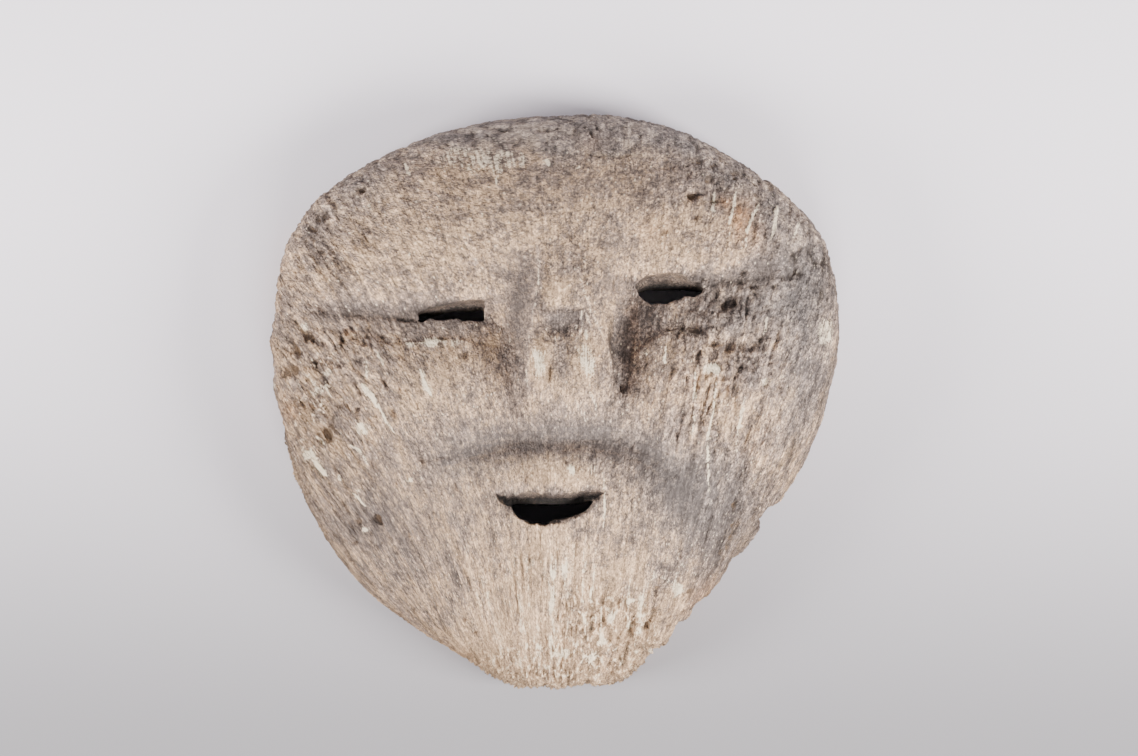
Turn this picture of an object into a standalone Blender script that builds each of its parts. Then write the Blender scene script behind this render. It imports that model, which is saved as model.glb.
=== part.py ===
"""A carved wooden face mask from Timor, lying on its back rim with the face up.

+X is the right of the face as it is looked at, +Y its crown and +Z out of the
face. The origin is under the middle of the mask, on the plane it lies on.
Sizes in this file are millimetres, and MM turns them into Blender's metres.
"""

import math

import bmesh
import bpy
import numpy as np

MM = 0.001

# The block: its height over the rim plane, and where its outline is widest
CROWN_HEIGHT = 58.0
WIDEST_HEIGHT = 12.0
DOME_POWER = 2.7
EDGE_INSET = 4.0
BITE_START = 0.8

# The hollow behind the face
RIM_BAND = 12.0
HOLLOW_HEIGHT = 45.0
HOLLOW_POWER = 2.5

# The rim is modelled a little long and then sawn flat
SAW_ALLOWANCE = 1.2

# Mesh fineness: squares across the working grid, and triangles that are kept
GRID = 150
DOME_SHARE = 0.89
RIM_SHARE = 0.91
KEPT_TRIANGLES = 9000

# The outline seen from above, clockwise from the crown
OUTLINE = (
    (2, 106.4), (28, 105.2), (54, 97), (80, 81.5), (96, 65.5), (103, 48), (105.6, 27), (103, 7),
    (96.5, -14), (85.5, -34), (66.8, -59.5), (50.8, -80.5), (33.4, -97.5), (19, -105.8),
    (-5, -106.8), (-16, -105.4), (-29, -98.4), (-48.7, -85.8), (-66, -73.5), (-80.5, -58),
    (-92.5, -37), (-99.5, -17), (-104, 0), (-105.6, 20), (-104.2, 38), (-99.8, 58),
    (-91, 72), (-80, 81.5), (-64.4, 90.6), (-43.5, 99.2), (-21, 104),
)
SOFT_WAVES = 5

# Bites broken out of the edge: direction in degrees, half its width in degrees, depth
EDGE_BITES = (
    (-28.0, 3.4, 3.2), (-42.0, 2.4, 1.0), (-55.4, 2.8, 2.0), (-61.8, 2.2, 2.8), (-69.0, 2.6, 2.6),
    (-84.0, 3.0, 1.6), (-93.0, 2.4, 0.8), (-176.0, 3.2, 1.6), (173.5, 2.6, 1.2), (163.0, 2.4, 1.0),
)

# Lines of the carving, each a run of places on the face seen from above
LEFT_BROW = ((-96, 36), (-81, 33.8), (-64, 32.4), (-50, 31.2), (-26, 31.4), (-8, 31.4))
RIGHT_BROW = ((14, 39), (30, 39.6), (42, 38.6), (55, 41.8), (72, 45), (88, 48.5), (102, 50))
LOWER_LIP = ((-23, -32.5), (-19, -37), (-15.5, -41), (-9, -44.4), (-1, -44.8), (6, -43.4), (12, -40.6),
             (15.5, -37), (19, -32))
LIP_GROOVE = ((-52, -23.5), (-38, -19.5), (-28, -17.2), (-13, -14.6), (6, -13.8), (24, -15.2),
              (35, -19.5), (44, -27.5), (51, -38), (55, -50))

# The outlines of the cuts through the wall, where they open on the face
LEFT_EYE = ((-50.8, 33.6), (-38, 35.6), (-30, 36.2), (-26.2, 36.4), (-25.8, 29.6), (-32, 29.4), (-36, 30.2),
            (-41, 29.8), (-46, 30.6), (-50, 29))
RIGHT_EYE = ((30, 42.4), (34, 44.6), (44, 45.4), (52, 45.6), (55, 44.2), (54.6, 41.4), (50, 39), (45, 38),
             (42.2, 36.8), (39.8, 35.9), (35, 36.1), (33, 37.4), (31, 39.6))
MOUTH = ((-16.4, -37.2), (-10, -37.4), (0, -37.7), (8, -37.2), (14.6, -36), (13.2, -38.8), (11.2, -40.6),
         (5, -43), (-1, -43.7), (-4, -45.4), (-9, -44.9), (-12, -43.4), (-14.6, -41.6), (-15.8, -39.6))

# The cuts run from above the face to inside the hollow. At its inner end a cut keeps a
# share of its height and has dropped towards the chin
CUT_TOP = 76.0
CUT_BOTTOM = 33.0
EYE_LEVEL = 50.0
MOUTH_LEVEL = 58.0
LEFT_EYE_KEEP = 0.43
LEFT_EYE_DROP = 1.5
RIGHT_EYE_KEEP = 0.54
RIGHT_EYE_DROP = 2.0
MOUTH_KEEP = 0.84
MOUTH_DROP = 0.0

WOOD_COLOUR = (0.44, 0.35, 0.28, 1.0)
WOOD_ROUGHNESS = 0.9


def clear_scene():
    """Remove whatever the opened file holds."""
    for item in list(bpy.data.objects):
        bpy.data.objects.remove(item, do_unlink=True)


def curve_points(points, steps, closed=False):
    """Points of a smooth curve through the given ones."""
    knots = np.array(points, float)
    count = len(knots)
    spans = count if closed else count - 1
    share = (np.arange(steps) / steps)[:, None]
    runs = []
    for index in range(spans):
        if closed:
            a, b, c, d = (knots[(index + offset) % count] for offset in (-1, 0, 1, 2))
        else:
            a, b, c, d = (knots[min(max(index + offset, 0), count - 1)] for offset in (-1, 0, 1, 2))
        slope_in = (c - a) / 2
        slope_out = (d - b) / 2
        runs.append(b + slope_in * share
                    + (3 * (c - b) - 2 * slope_in - slope_out) * share ** 2
                    + (2 * (b - c) + slope_in + slope_out) * share ** 3)
    if not closed:
        runs.append(knots[-1:])
    return np.concatenate(runs)


def value_along(knots, at):
    """A smooth value through (place, value) knots, level beyond both ends."""
    places, values = np.array(knots, float).T
    slopes = np.gradient(values, places)
    slopes[0] = 0.0
    slopes[-1] = 0.0
    at = np.clip(at, places[0], places[-1])
    index = np.clip(np.searchsorted(places, at) - 1, 0, len(places) - 2)
    width = places[index + 1] - places[index]
    share = (at - places[index]) / width
    start, end = values[index], values[index + 1]
    slope_in, slope_out = slopes[index] * width, slopes[index + 1] * width
    return (start + slope_in * share
            + (3 * (end - start) - 2 * slope_in - slope_out) * share ** 2
            + (2 * (start - end) + slope_in + slope_out) * share ** 3)


def step(low, high, value):
    """Rise smoothly from 0 at low to 1 at high."""
    share = np.clip((value - low) / (high - low), 0, 1)
    return share * share * (3 - 2 * share)


def mound(x, y, centre, reach, turn=0.0):
    """A soft round rise of height 1, longer one way than the other."""
    angle = math.radians(turn)
    across = (x - centre[0]) * math.cos(angle) + (y - centre[1]) * math.sin(angle)
    along = (y - centre[1]) * math.cos(angle) - (x - centre[0]) * math.sin(angle)
    return np.exp(-(across / reach[0]) ** 2 - (along / reach[1]) ** 2)


def distance_to(points, x, y):
    """Distance to a line left (+) or right (-) of its travel, and how far along it that is."""
    line = curve_points(points, 8)
    spans = np.diff(line, axis=0)
    lengths = np.hypot(spans[:, 0], spans[:, 1])
    starts = np.concatenate([[0], np.cumsum(lengths)])
    best = np.full(x.shape, 1e9)
    signed = np.zeros(x.shape)
    travel = np.zeros(x.shape)
    for start, span, length, before in zip(line, spans, lengths, starts):
        off_x, off_y = x - start[0], y - start[1]
        share = np.clip((off_x * span[0] + off_y * span[1]) / length ** 2, 0, 1)
        gap = np.hypot(off_x - share * span[0], off_y - share * span[1])
        side = np.where(span[0] * off_y - span[1] * off_x >= 0, 1.0, -1.0)
        nearer = gap < best
        best = np.where(nearer, gap, best)
        signed = np.where(nearer, side * gap, signed)
        travel = np.where(nearer, (before + share * length) / starts[-1], travel)
    return signed, travel


def outline_radius(angle):
    """How far the unbroken outline lies from the middle, in each direction."""
    curve = curve_points(OUTLINE, 12, closed=True)
    angles = np.arctan2(curve[:, 1], curve[:, 0])
    order = np.argsort(angles)
    radii = np.hypot(curve[:, 0], curve[:, 1])
    return np.interp(angle, angles[order], radii[order], period=2 * math.pi)


def soft_radius(angle):
    """The outline with only its slow waves, which the inner forms follow."""
    around = np.linspace(-math.pi, math.pi, 720, endpoint=False)
    waves = np.fft.rfft(outline_radius(around))
    waves[SOFT_WAVES + 1:] = 0
    return np.interp(angle, around, np.fft.irfft(waves, 720), period=2 * math.pi)


def bite_depth(angle):
    """How much is broken out of the edge in each direction."""
    depth = np.zeros(np.shape(angle))
    for direction, half_width, deep in EDGE_BITES:
        turn = np.degrees(angle) - direction
        turn = (turn + 180) % 360 - 180
        depth += deep * np.exp(-(turn / half_width) ** 2)
    return depth


def one_sided(signed, left, right):
    """A valley of depth 1 that rises over a different width on each side of its line."""
    width = np.where(signed > 0, left, right)
    return np.exp(-(signed / width) ** 2)


def brows(x, y):
    """The undercut brows, with a ledge for the lower lids."""
    signed, _ = distance_to(LEFT_BROW, x, y)
    reach = step(-98, -66, x) * (1 - step(-26, -10, x))
    cut = 8.0 * reach * one_sided(signed, 6.0, 15.0)
    signed, _ = distance_to(RIGHT_BROW, x, y)
    reach = step(15, 29, x) * (1 - 0.6 * step(50, 90, x))
    cut += 9.0 * reach * one_sided(signed, 6.0, 14.0)
    return -cut


def cheeks(x, y):
    """The two cheeks, the left one lower and broader."""
    return (4.5 * mound(x, y, (-46, 2), (34, 19))
            + 4.0 * mound(x, y, (56, 4), (32, 22))
            + 1.5 * mound(x, y, (60, -30), (22, 26)))


def nose(x, y):
    """The wedge of the nose between its two flanks, with a worn dip across the bridge."""
    middle = value_along(((-8, 4.8), (60, 6.4)), y)
    half_width = value_along(((-10, 16), (2, 16), (20, 15.2), (45, 13), (62, 10.2)), y)
    height = value_along(((-14, 0), (-6, 5.4), (3, 9.8), (18, 9.4), (30, 7.4), (46, 4.8), (64, 0)), y)
    wedge = height * np.exp(-np.abs((x - middle) / half_width) ** 6)
    left_flank = 5.8 * mound(x, y, (-15.5, 14), (8, 30))
    right_flank = 4.6 * mound(x, y, (24.8, 18), (8, 21)) + 4.2 * mound(x, y, (23.6, 20), (4, 12))
    dip = 2.4 * mound(x, y, (3, 27.5), (8, 4.6))
    lobes = 1.6 * mound(x, y, (-5.2, 14), (4, 8)) + 1.6 * mound(x, y, (11.4, 14), (4.2, 7.6))
    brow_knob = 1.1 * mound(x, y, (1.2, 40.7), (5.6, 6.4))
    return wedge + lobes + brow_knob - left_flank - right_flank - dip


def mouth_form(x, y):
    """The frowning groove over the mouth, the muzzle under it and the scooped lips."""
    signed, travel = distance_to(LIP_GROOVE, x, y)
    depth = step(-0.02, 0.28, travel) * (1 - 0.85 * step(0.6, 1.0, travel))
    groove = 6.2 * depth * one_sided(signed, 11.0, 5.5)
    muzzle = 4.6 * mound(x, y, (3, -37), (35, 17)) + 1.6 * mound(x, y, (0, -72), (38, 24))
    over_lip, along_lip = distance_to(LOWER_LIP, x, y)
    corners = step(0.02, 0.2, along_lip) * step(0.98, 0.8, along_lip)
    scoop = 6.5 * corners * step(0, 2, over_lip) * step(11.5, 2, over_lip)
    return muzzle - groove - scoop


def flaws(x, y):
    """The larger holes, hollows and broken steps in the weathered wood."""
    pits = (
        ((-98, 19), (3.2, 2.4), 3.0), ((-90, 24.5), (3.0, 2.2), 2.4), ((-98.5, 11.5), (4.6, 2.6), 2.6),
        ((-85, 14.5), (3.4, 2.6), 1.8), ((-76, 25.8), (3.0, 1.6), 2.2), ((-84, -12), (4.4, 3.4), 2.0),
        ((-74, -46), (3.4, 2.6), 1.8), ((-66, -44), (3.2, 2.2), 1.6), ((65, 36), (3.0, 3.4), 3.2),
        ((64, 20), (4.4, 3.0), 2.4), ((51, 27.2), (3.0, 1.8), 1.8), ((24.8, 4.6), (1.8, 2.6), 2.2),
        ((57.5, 78.5), (3.0, 2.6), 2.0), ((51.5, 75.6), (2.2, 2.0), 2.0), ((36.5, -70), (4.4, 5.6), 2.2),
        ((34, -83), (1.4, 3.4), 2.4), ((28, -84), (1.2, 3.2), 1.8), ((66.5, -47.5), (1.4, 4.4), 2.4),
        ((-31, -94.6), (3.0, 1.8), 1.6), ((-83, 67.8), (2.4, 1.6), 2.0), ((-86, 55), (4.0, 4.0), 1.6),
    )
    cut = np.zeros(x.shape)
    for centre, reach, depth in pits:
        cut += depth * mound(x, y, centre, reach)
    return -cut


def face_height(x, y):
    """Height of the carved face over the rim plane."""
    angle = np.arctan2(y, x)
    radius = outline_radius(angle)
    share = np.hypot(x, y) / radius
    soft = soft_radius(angle)
    share = np.clip(np.hypot(x, y) / (soft + (radius - soft) * step(0.6, 1.0, share)), 0, 1)
    dome = WIDEST_HEIGHT + (CROWN_HEIGHT - WIDEST_HEIGHT) * np.sqrt(1 - share ** DOME_POWER)
    forehead = 4.0 * mound(x, y, (-2, 64), (80, 24))
    carving = forehead + brows(x, y) + cheeks(x, y) + nose(x, y) + mouth_form(x, y)
    fade = 1 - step(0.84, 1.0, share)
    edge_fade = 1 - step(0.95, 1.0, share)
    return dome + carving * fade + flaws(x, y) * edge_fade


def disc_grid(count):
    """A square grid bent onto a disc: each point's share of the radius and its direction."""
    ticks = np.linspace(-1, 1, count + 1)
    u, v = np.meshgrid(ticks, ticks, indexing="ij")
    wide = np.abs(u) > np.abs(v)
    share = np.where(wide, np.abs(u), np.abs(v))
    safe_u = np.where(u == 0, 1, u)
    safe_v = np.where(v == 0, 1, v)
    angle = np.where(wide, math.pi / 4 * v / safe_u, math.pi / 2 - math.pi / 4 * u / safe_v)
    angle = angle + np.where(np.where(wide, u < 0, v < 0), math.pi, 0)
    return share, angle


def front_points(share, angle):
    """The face and the outside of the rim, from the middle to the sawn plane."""
    radius = outline_radius(angle)
    on_dome = share <= DOME_SHARE
    lean = np.clip(share / DOME_SHARE, 0, 1) * math.pi / 2
    out = radius * np.sin(lean) ** (2 / DOME_POWER)
    down = np.clip((share - DOME_SHARE) / (1 - DOME_SHARE), 0, 1) * math.pi / 2
    out = np.where(on_dome, out, radius - EDGE_INSET * (1 - np.cos(down)))
    height = face_height(out * np.cos(angle), out * np.sin(angle))
    side = WIDEST_HEIGHT - (WIDEST_HEIGHT + SAW_ALLOWANCE) * np.sin(down)
    out = out - bite_depth(angle) * step(BITE_START, 1.0, out / radius + share - DOME_SHARE)
    return np.stack([out * np.cos(angle), out * np.sin(angle), np.where(on_dome, height, side)], axis=-1)


def back_points(share, angle):
    """The flat rim and the plain hollow behind the face."""
    edge = outline_radius(angle) - EDGE_INSET - bite_depth(angle)
    inner = soft_radius(angle) - EDGE_INSET - RIM_BAND
    lean = np.clip(share / RIM_SHARE, 0, 1) * math.pi / 2
    out = np.where(share <= RIM_SHARE, inner * np.sin(lean) ** (2 / HOLLOW_POWER),
                   inner + (edge - inner) * (share - RIM_SHARE) / (1 - RIM_SHARE))
    height = np.where(share < RIM_SHARE, HOLLOW_HEIGHT * np.cos(lean), 0) - SAW_ALLOWANCE
    return np.stack([out * np.cos(angle), out * np.sin(angle), height], axis=-1)


def block_mesh():
    """The whole mask without its cuts, as one closed mesh of squares."""
    share, angle = disc_grid(GRID)
    front = front_points(share, angle).reshape(-1, 3)
    back = back_points(share, angle).reshape(-1, 3)
    side = GRID + 1
    index = np.arange(side * side).reshape(side, side)
    on_edge = np.zeros((side, side), bool)
    on_edge[[0, -1], :] = True
    on_edge[:, [0, -1]] = True
    back_index = np.where(on_edge, index, index + side * side)
    quads = []
    for grid, turned in ((index, False), (back_index, True)):
        corners = np.stack([grid[:-1, :-1], grid[1:, :-1], grid[1:, 1:], grid[:-1, 1:]], axis=-1)
        corners = corners.reshape(-1, 4)
        quads.append(corners[:, ::-1] if turned else corners)
    mesh = bpy.data.meshes.new("carved_mask")
    mesh.from_pydata((np.concatenate([front, back]) * MM).tolist(), [], np.concatenate(quads).tolist())
    shape = bmesh.new()
    shape.from_mesh(mesh)
    bmesh.ops.delete(shape, geom=[v for v in shape.verts if not v.link_faces], context="VERTS")
    shape.to_mesh(mesh)
    shape.free()
    return mesh


def as_cutter(item):
    """Keep a cutting body out of the renders and the finished part."""
    item.hide_render = True
    item.display_type = "WIRE"
    bpy.context.scene.collection.objects.link(item)
    return item


def slit_cutter(name, outline, level, keep, drop):
    """A prism through the wall that gets lower and runs towards the chin as it goes in."""
    shape = bmesh.new()
    rings = []
    foot = min(y for _, y in outline)
    for height in (CUT_BOTTOM, CUT_TOP):
        inward = (level - height) / (level - CUT_BOTTOM)
        tall = 1 - (1 - keep) * inward
        places = [(x, foot + (y - foot) * tall - drop * inward) for x, y in outline]
        rings.append([shape.verts.new((x * MM, y * MM, height * MM)) for x, y in places])
    low, high = rings
    shape.faces.new(low)
    shape.faces.new(high[::-1])
    for index, corner in enumerate(low):
        following = (index + 1) % len(low)
        shape.faces.new((corner, high[index], high[following], low[following]))
    bmesh.ops.recalc_face_normals(shape, faces=shape.faces)
    mesh = bpy.data.meshes.new(name)
    shape.to_mesh(mesh)
    shape.free()
    return as_cutter(bpy.data.objects.new(name, mesh))


def saw_cutter():
    """A slab whose top is the plane that the rim is sawn to."""
    shape = bmesh.new()
    bmesh.ops.create_cube(shape, size=1.0)
    bmesh.ops.scale(shape, vec=(0.4, 0.4, 0.02), verts=shape.verts)
    bmesh.ops.translate(shape, vec=(0, 0, -0.01), verts=shape.verts)
    mesh = bpy.data.meshes.new("saw_plane")
    shape.to_mesh(mesh)
    shape.free()
    return as_cutter(bpy.data.objects.new("saw_plane", mesh))


def cut(item, cutter):
    """Take a cutter's space out of a piece."""
    modifier = item.modifiers.new(cutter.name, "BOOLEAN")
    modifier.operation = "DIFFERENCE"
    modifier.solver = "EXACT"
    modifier.object = cutter


def weathered_wood():
    """Grey, dry, weathered wood."""
    material = bpy.data.materials.new("weathered_wood")
    material.use_nodes = True
    shader = material.node_tree.nodes["Principled BSDF"]
    shader.inputs["Base Color"].default_value = WOOD_COLOUR
    shader.inputs["Roughness"].default_value = WOOD_ROUGHNESS
    shader.inputs["Metallic"].default_value = 0.0
    return material


def carved_mask():
    """The one piece: the block in few faces, its eyes and mouth cut through and its rim sawn flat."""
    mesh = block_mesh()
    mask = bpy.data.objects.new("carved_mask", mesh)
    bpy.context.scene.collection.objects.link(mask)
    mesh.materials.append(weathered_wood())
    thin = mask.modifiers.new("fewer_faces", "DECIMATE")
    thin.ratio = KEPT_TRIANGLES / (4 * GRID * GRID)
    cut(mask, slit_cutter("left_eye_cut", LEFT_EYE, EYE_LEVEL, LEFT_EYE_KEEP, LEFT_EYE_DROP))
    cut(mask, slit_cutter("right_eye_cut", RIGHT_EYE, EYE_LEVEL, RIGHT_EYE_KEEP, RIGHT_EYE_DROP))
    cut(mask, slit_cutter("mouth_cut", MOUTH, MOUTH_LEVEL, MOUTH_KEEP, MOUTH_DROP))
    cut(mask, saw_cutter())
    return mask


clear_scene()
carved_mask()
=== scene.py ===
"""The looks of a weathered wooden face mask from Timor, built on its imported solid.

The mask lies on its back rim with the face up: +X is the right of the face as it
is looked at, +Y its crown and +Z out of the face. Lengths are millimetres until
MM turns them into Blender's metres.
"""
import itertools
import logging
import math
from dataclasses import dataclass, field
from enum import Enum

import bmesh
import bpy
import numpy as np
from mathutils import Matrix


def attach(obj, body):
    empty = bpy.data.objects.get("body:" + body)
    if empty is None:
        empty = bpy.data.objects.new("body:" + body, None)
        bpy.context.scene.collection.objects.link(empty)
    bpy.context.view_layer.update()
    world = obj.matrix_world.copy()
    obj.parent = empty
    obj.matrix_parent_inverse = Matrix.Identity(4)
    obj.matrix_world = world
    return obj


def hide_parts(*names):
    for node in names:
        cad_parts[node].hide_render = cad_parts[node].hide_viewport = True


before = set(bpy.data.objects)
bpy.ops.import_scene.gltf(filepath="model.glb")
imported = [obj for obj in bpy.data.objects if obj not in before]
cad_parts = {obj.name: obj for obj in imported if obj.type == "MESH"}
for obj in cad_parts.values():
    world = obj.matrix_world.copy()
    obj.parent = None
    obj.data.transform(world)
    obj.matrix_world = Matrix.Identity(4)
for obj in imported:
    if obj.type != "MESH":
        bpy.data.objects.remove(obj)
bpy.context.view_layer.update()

MM = 0.001
LOG = logging.getLogger("carved_mask")

Place = tuple[float, float]
Colour = tuple[float, float, float, float]


class Side(Enum):
    """Which face of the wood a grid of points belongs to."""

    FACE = "face"
    BACK = "back"


def step(low: float, high: float, value: np.ndarray) -> np.ndarray:
    """Rise smoothly from 0 to 1.

    Args:
        low: value at which the rise starts.
        high: value at which it is complete.
        value: the values to judge.

    Returns:
        The share of the rise at each value.
    """
    share = np.clip((value - low) / (high - low), 0, 1)
    return share * share * (3 - 2 * share)


def curve_points(points: tuple[Place, ...], steps: int, closed: bool = False) -> np.ndarray:
    """Find points of a smooth curve through the given ones.

    Args:
        points: the places that the curve runs through.
        steps: how many points to make between two of them.
        closed: whether the curve ends where it starts.

    Returns:
        An array of places, one row each.
    """
    knots = np.array(points, float)
    count = len(knots)
    share = (np.arange(steps) / steps)[:, None]
    runs = []
    for index in range(count if closed else count - 1):
        around = [index + offset for offset in (-1, 0, 1, 2)]
        around = [i % count if closed else min(max(i, 0), count - 1) for i in around]
        a, b, c, d = knots[around]
        slope_in, slope_out = (c - a) / 2, (d - b) / 2
        runs.append(b + slope_in * share
                    + (3 * (c - b) - 2 * slope_in - slope_out) * share ** 2
                    + (2 * (b - c) + slope_in + slope_out) * share ** 3)
    if not closed:
        runs.append(knots[-1:])
    return np.concatenate(runs)


def value_along(knots: tuple[Place, ...], at: np.ndarray) -> np.ndarray:
    """Read a smooth value through (place, value) knots, level beyond both ends.

    Args:
        knots: pairs of a place and the value there, in rising order of place.
        at: the places to read.

    Returns:
        The value at each place.
    """
    places, values = np.array(knots, float).T
    slopes = np.gradient(values, places)
    slopes[[0, -1]] = 0.0
    at = np.clip(at, places[0], places[-1])
    index = np.clip(np.searchsorted(places, at) - 1, 0, len(places) - 2)
    width = places[index + 1] - places[index]
    share = (at - places[index]) / width
    start, end = values[index], values[index + 1]
    slope_in, slope_out = slopes[index] * width, slopes[index + 1] * width
    return (start + slope_in * share
            + (3 * (end - start) - 2 * slope_in - slope_out) * share ** 2
            + (2 * (start - end) + slope_in + slope_out) * share ** 3)


@dataclass(frozen=True)
class Mound:
    """A soft rise, longer one way than the other, or a hollow if its height is negative."""

    centre: Place
    reach: Place
    height: float = 1.0
    lean: float = 0.0
    power: float = 1.0

    def rise(self, x: np.ndarray, y: np.ndarray) -> np.ndarray:
        """Read its height.

        Args:
            x: places to the right.
            y: places towards the crown.

        Returns:
            The height at each place.
        """
        turn = math.radians(self.lean)
        off_x, off_y = x - self.centre[0], y - self.centre[1]
        across = (off_x * math.cos(turn) + off_y * math.sin(turn)) / self.reach[0]
        along = (off_y * math.cos(turn) - off_x * math.sin(turn)) / self.reach[1]
        return self.height * np.exp(-(across ** 2 + along ** 2) ** self.power)


@dataclass(frozen=True)
class Stroke:
    """A line on the face: a crease, crack, groove or fibre."""

    points: tuple[Place, ...]

    def distance(self, x: np.ndarray, y: np.ndarray) -> tuple[np.ndarray, np.ndarray]:
        """Measure how far places lie from the line.

        Args:
            x: places to the right.
            y: places towards the crown.

        Returns:
            The distance, above 0 on the left of the line's travel, and the share of the line
            that is behind the nearest point.
        """
        line = curve_points(self.points, 8)
        spans = np.diff(line, axis=0)
        lengths = np.hypot(spans[:, 0], spans[:, 1])
        starts = np.concatenate([[0], np.cumsum(lengths)])
        best = np.full(x.shape, 1e9)
        signed = np.zeros(x.shape)
        travel = np.zeros(x.shape)
        for start, span, length, before in zip(line, spans, lengths, starts):
            off_x, off_y = x - start[0], y - start[1]
            share = np.clip((off_x * span[0] + off_y * span[1]) / length ** 2, 0, 1)
            gap = np.hypot(off_x - share * span[0], off_y - share * span[1])
            side = np.where(span[0] * off_y - span[1] * off_x >= 0, 1.0, -1.0)
            nearer = gap < best
            best = np.where(nearer, gap, best)
            signed = np.where(nearer, side * gap, signed)
            travel = np.where(nearer, (before + share * length) / starts[-1], travel)
        return signed, travel

    def mark(self, x: np.ndarray, y: np.ndarray, width: float) -> np.ndarray:
        """Draw the line as a band that thins out towards both ends.

        Args:
            x: places to the right.
            y: places towards the crown.
            width: half its width in the middle.

        Returns:
            The band's strength at each place, from 0 to 1.
        """
        line = np.array(self.points)
        margin = 3 * width
        low, high = line.min(axis=0) - margin, line.max(axis=0) + margin
        near = np.flatnonzero((x > low[0]) & (x < high[0]) & (y > low[1]) & (y < high[1]))
        strength = np.zeros(x.shape)
        if len(near):
            signed, travel = self.distance(x[near], y[near])
            taper = 0.25 + 0.75 * np.sqrt(np.clip(4 * travel * (1 - travel), 0, 1))
            strength[near] = np.exp(-(signed / (width * taper)) ** 2)
        return strength


@dataclass(frozen=True)
class Ledge:
    """A broken layer of wood: a sharp edge, lower on the left of the line's travel."""

    points: tuple[Place, ...]
    depth: float
    reach: float

    def drop(self, x: np.ndarray, y: np.ndarray) -> np.ndarray:
        """Measure how much the surface lies lower.

        Args:
            x: places to the right.
            y: places towards the crown.

        Returns:
            The depth at each place, full just beside the edge and fading away from it.
        """
        signed, travel = Stroke(self.points).distance(x, y)
        ends = step(0.0, 0.12, travel) * step(1.0, 0.88, travel)
        return self.depth * ends * step(-0.4, 0.5, signed) * np.exp(-(signed / self.reach) ** 2)


@dataclass(frozen=True)
class Noise:
    """Smooth random values that are the same on every run."""

    seed: int

    def cells(self, *whole: np.ndarray) -> np.ndarray:
        """Give every whole-numbered cell its own random value.

        Args:
            whole: the cell's number along each axis.

        Returns:
            A value from 0 to 1 for each cell.
        """
        mixed = np.full(whole[0].shape, (self.seed * 2654435761) & 0xFFFFFFFF, np.uint32)
        for axis, prime in zip(whole, (374761393, 668265263, 2246822519)):
            mixed = mixed ^ (axis.astype(np.int64).astype(np.uint32) * np.uint32(prime))
            mixed = (mixed ^ (mixed >> np.uint32(15))) * np.uint32(739982445)
            mixed = (mixed ^ (mixed >> np.uint32(12))) * np.uint32(695872825)
        return (mixed ^ (mixed >> np.uint32(15))) / 4294967296.0

    def value(self, *along: np.ndarray) -> np.ndarray:
        """Read one layer of noise.

        Args:
            along: the places along each axis, in cells.

        Returns:
            A value from -1 to 1 at each place.
        """
        base = [np.floor(axis) for axis in along]
        share = [axis - low for axis, low in zip(along, base)]
        fade = [s * s * s * (s * (s * 6 - 15) + 10) for s in share]
        total = np.zeros(along[0].shape)
        for corner in itertools.product((0, 1), repeat=len(along)):
            weight = np.ones(along[0].shape)
            for up, rise in zip(corner, fade):
                weight = weight * (rise if up else 1 - rise)
            total += weight * self.cells(*(low + up for low, up in zip(base, corner)))
        return 2 * total - 1

    def layered(self, *along: np.ndarray, layers: int = 3, gain: float = 0.5) -> np.ndarray:
        """Add finer and weaker layers to the first.

        Args:
            along: the places along each axis, in cells of the coarsest layer.
            layers: how many layers there are.
            gain: the strength of each layer against the one before.

        Returns:
            A value from about -1 to 1 at each place.
        """
        total, strength, reach = np.zeros(along[0].shape), 1.0, 0.0
        for layer in range(layers):
            scale = 2.03 ** layer
            total += strength * Noise(self.seed + 31 * layer).value(
                *(a * scale + 7.3 * layer for a in along))
            reach += strength
            strength *= gain
        return total / reach

    def crumbs(self, across: np.ndarray, along: np.ndarray,
               spacing: Place) -> tuple[np.ndarray, np.ndarray]:
        """Cover the surface with rounded crumbs, one in each cell.

        Args:
            across: places across the fibres.
            along: places along the fibres.
            spacing: the cell's size across and along.

        Returns:
            The crumbs' height from 0 to 1, and the strength of the seams between them.
        """
        near = np.full(across.shape, 9.0)
        second = near.copy()
        for off_across, off_along in itertools.product((-1, 0, 1), repeat=2):
            cell_across = np.floor(across / spacing[0]) + off_across
            cell_along = np.floor(along / spacing[1]) + off_along
            draws = [Noise(self.seed + 101 * turn).cells(cell_across, cell_along) for turn in range(2)]
            far = np.hypot(across / spacing[0] - cell_across - draws[0],
                           along / spacing[1] - cell_along - draws[1])
            second = np.minimum(second, np.maximum(near, far))
            near = np.minimum(near, far)
        return np.clip(1 - near ** 2, 0, 1), 1 - step(0.0, 0.22, second - near)

    def dots(self, across: np.ndarray, along: np.ndarray, spacing: Place, size: Place,
             chance: np.ndarray) -> np.ndarray:
        """Scatter round or long dots, at most one in each cell.

        Args:
            across: places across the fibres.
            along: places along the fibres.
            spacing: the cell's size across and along.
            size: the largest dot's half width and half length.
            chance: the share of the cells that hold a dot, at each place.

        Returns:
            The strength of the strongest dot at each place, from 0 to 1.
        """
        best = np.zeros(across.shape)
        for off_across, off_along in itertools.product((-1, 0, 1), repeat=2):
            cell_across = np.floor(across / spacing[0]) + off_across
            cell_along = np.floor(along / spacing[1]) + off_along
            draws = [Noise(self.seed + 101 * turn).cells(cell_across, cell_along) for turn in range(4)]
            scale = 0.45 + 0.55 * draws[2]
            far = (((across - (cell_across + draws[0]) * spacing[0]) / (size[0] * scale)) ** 2
                   + ((along - (cell_along + draws[1]) * spacing[1]) / (size[1] * scale)) ** 2)
            present = step(-0.06, 0.06, chance - draws[3])
            best = np.maximum(best, np.clip(1 - far, 0, 1) ** 1.5 * present)
        return best


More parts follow.
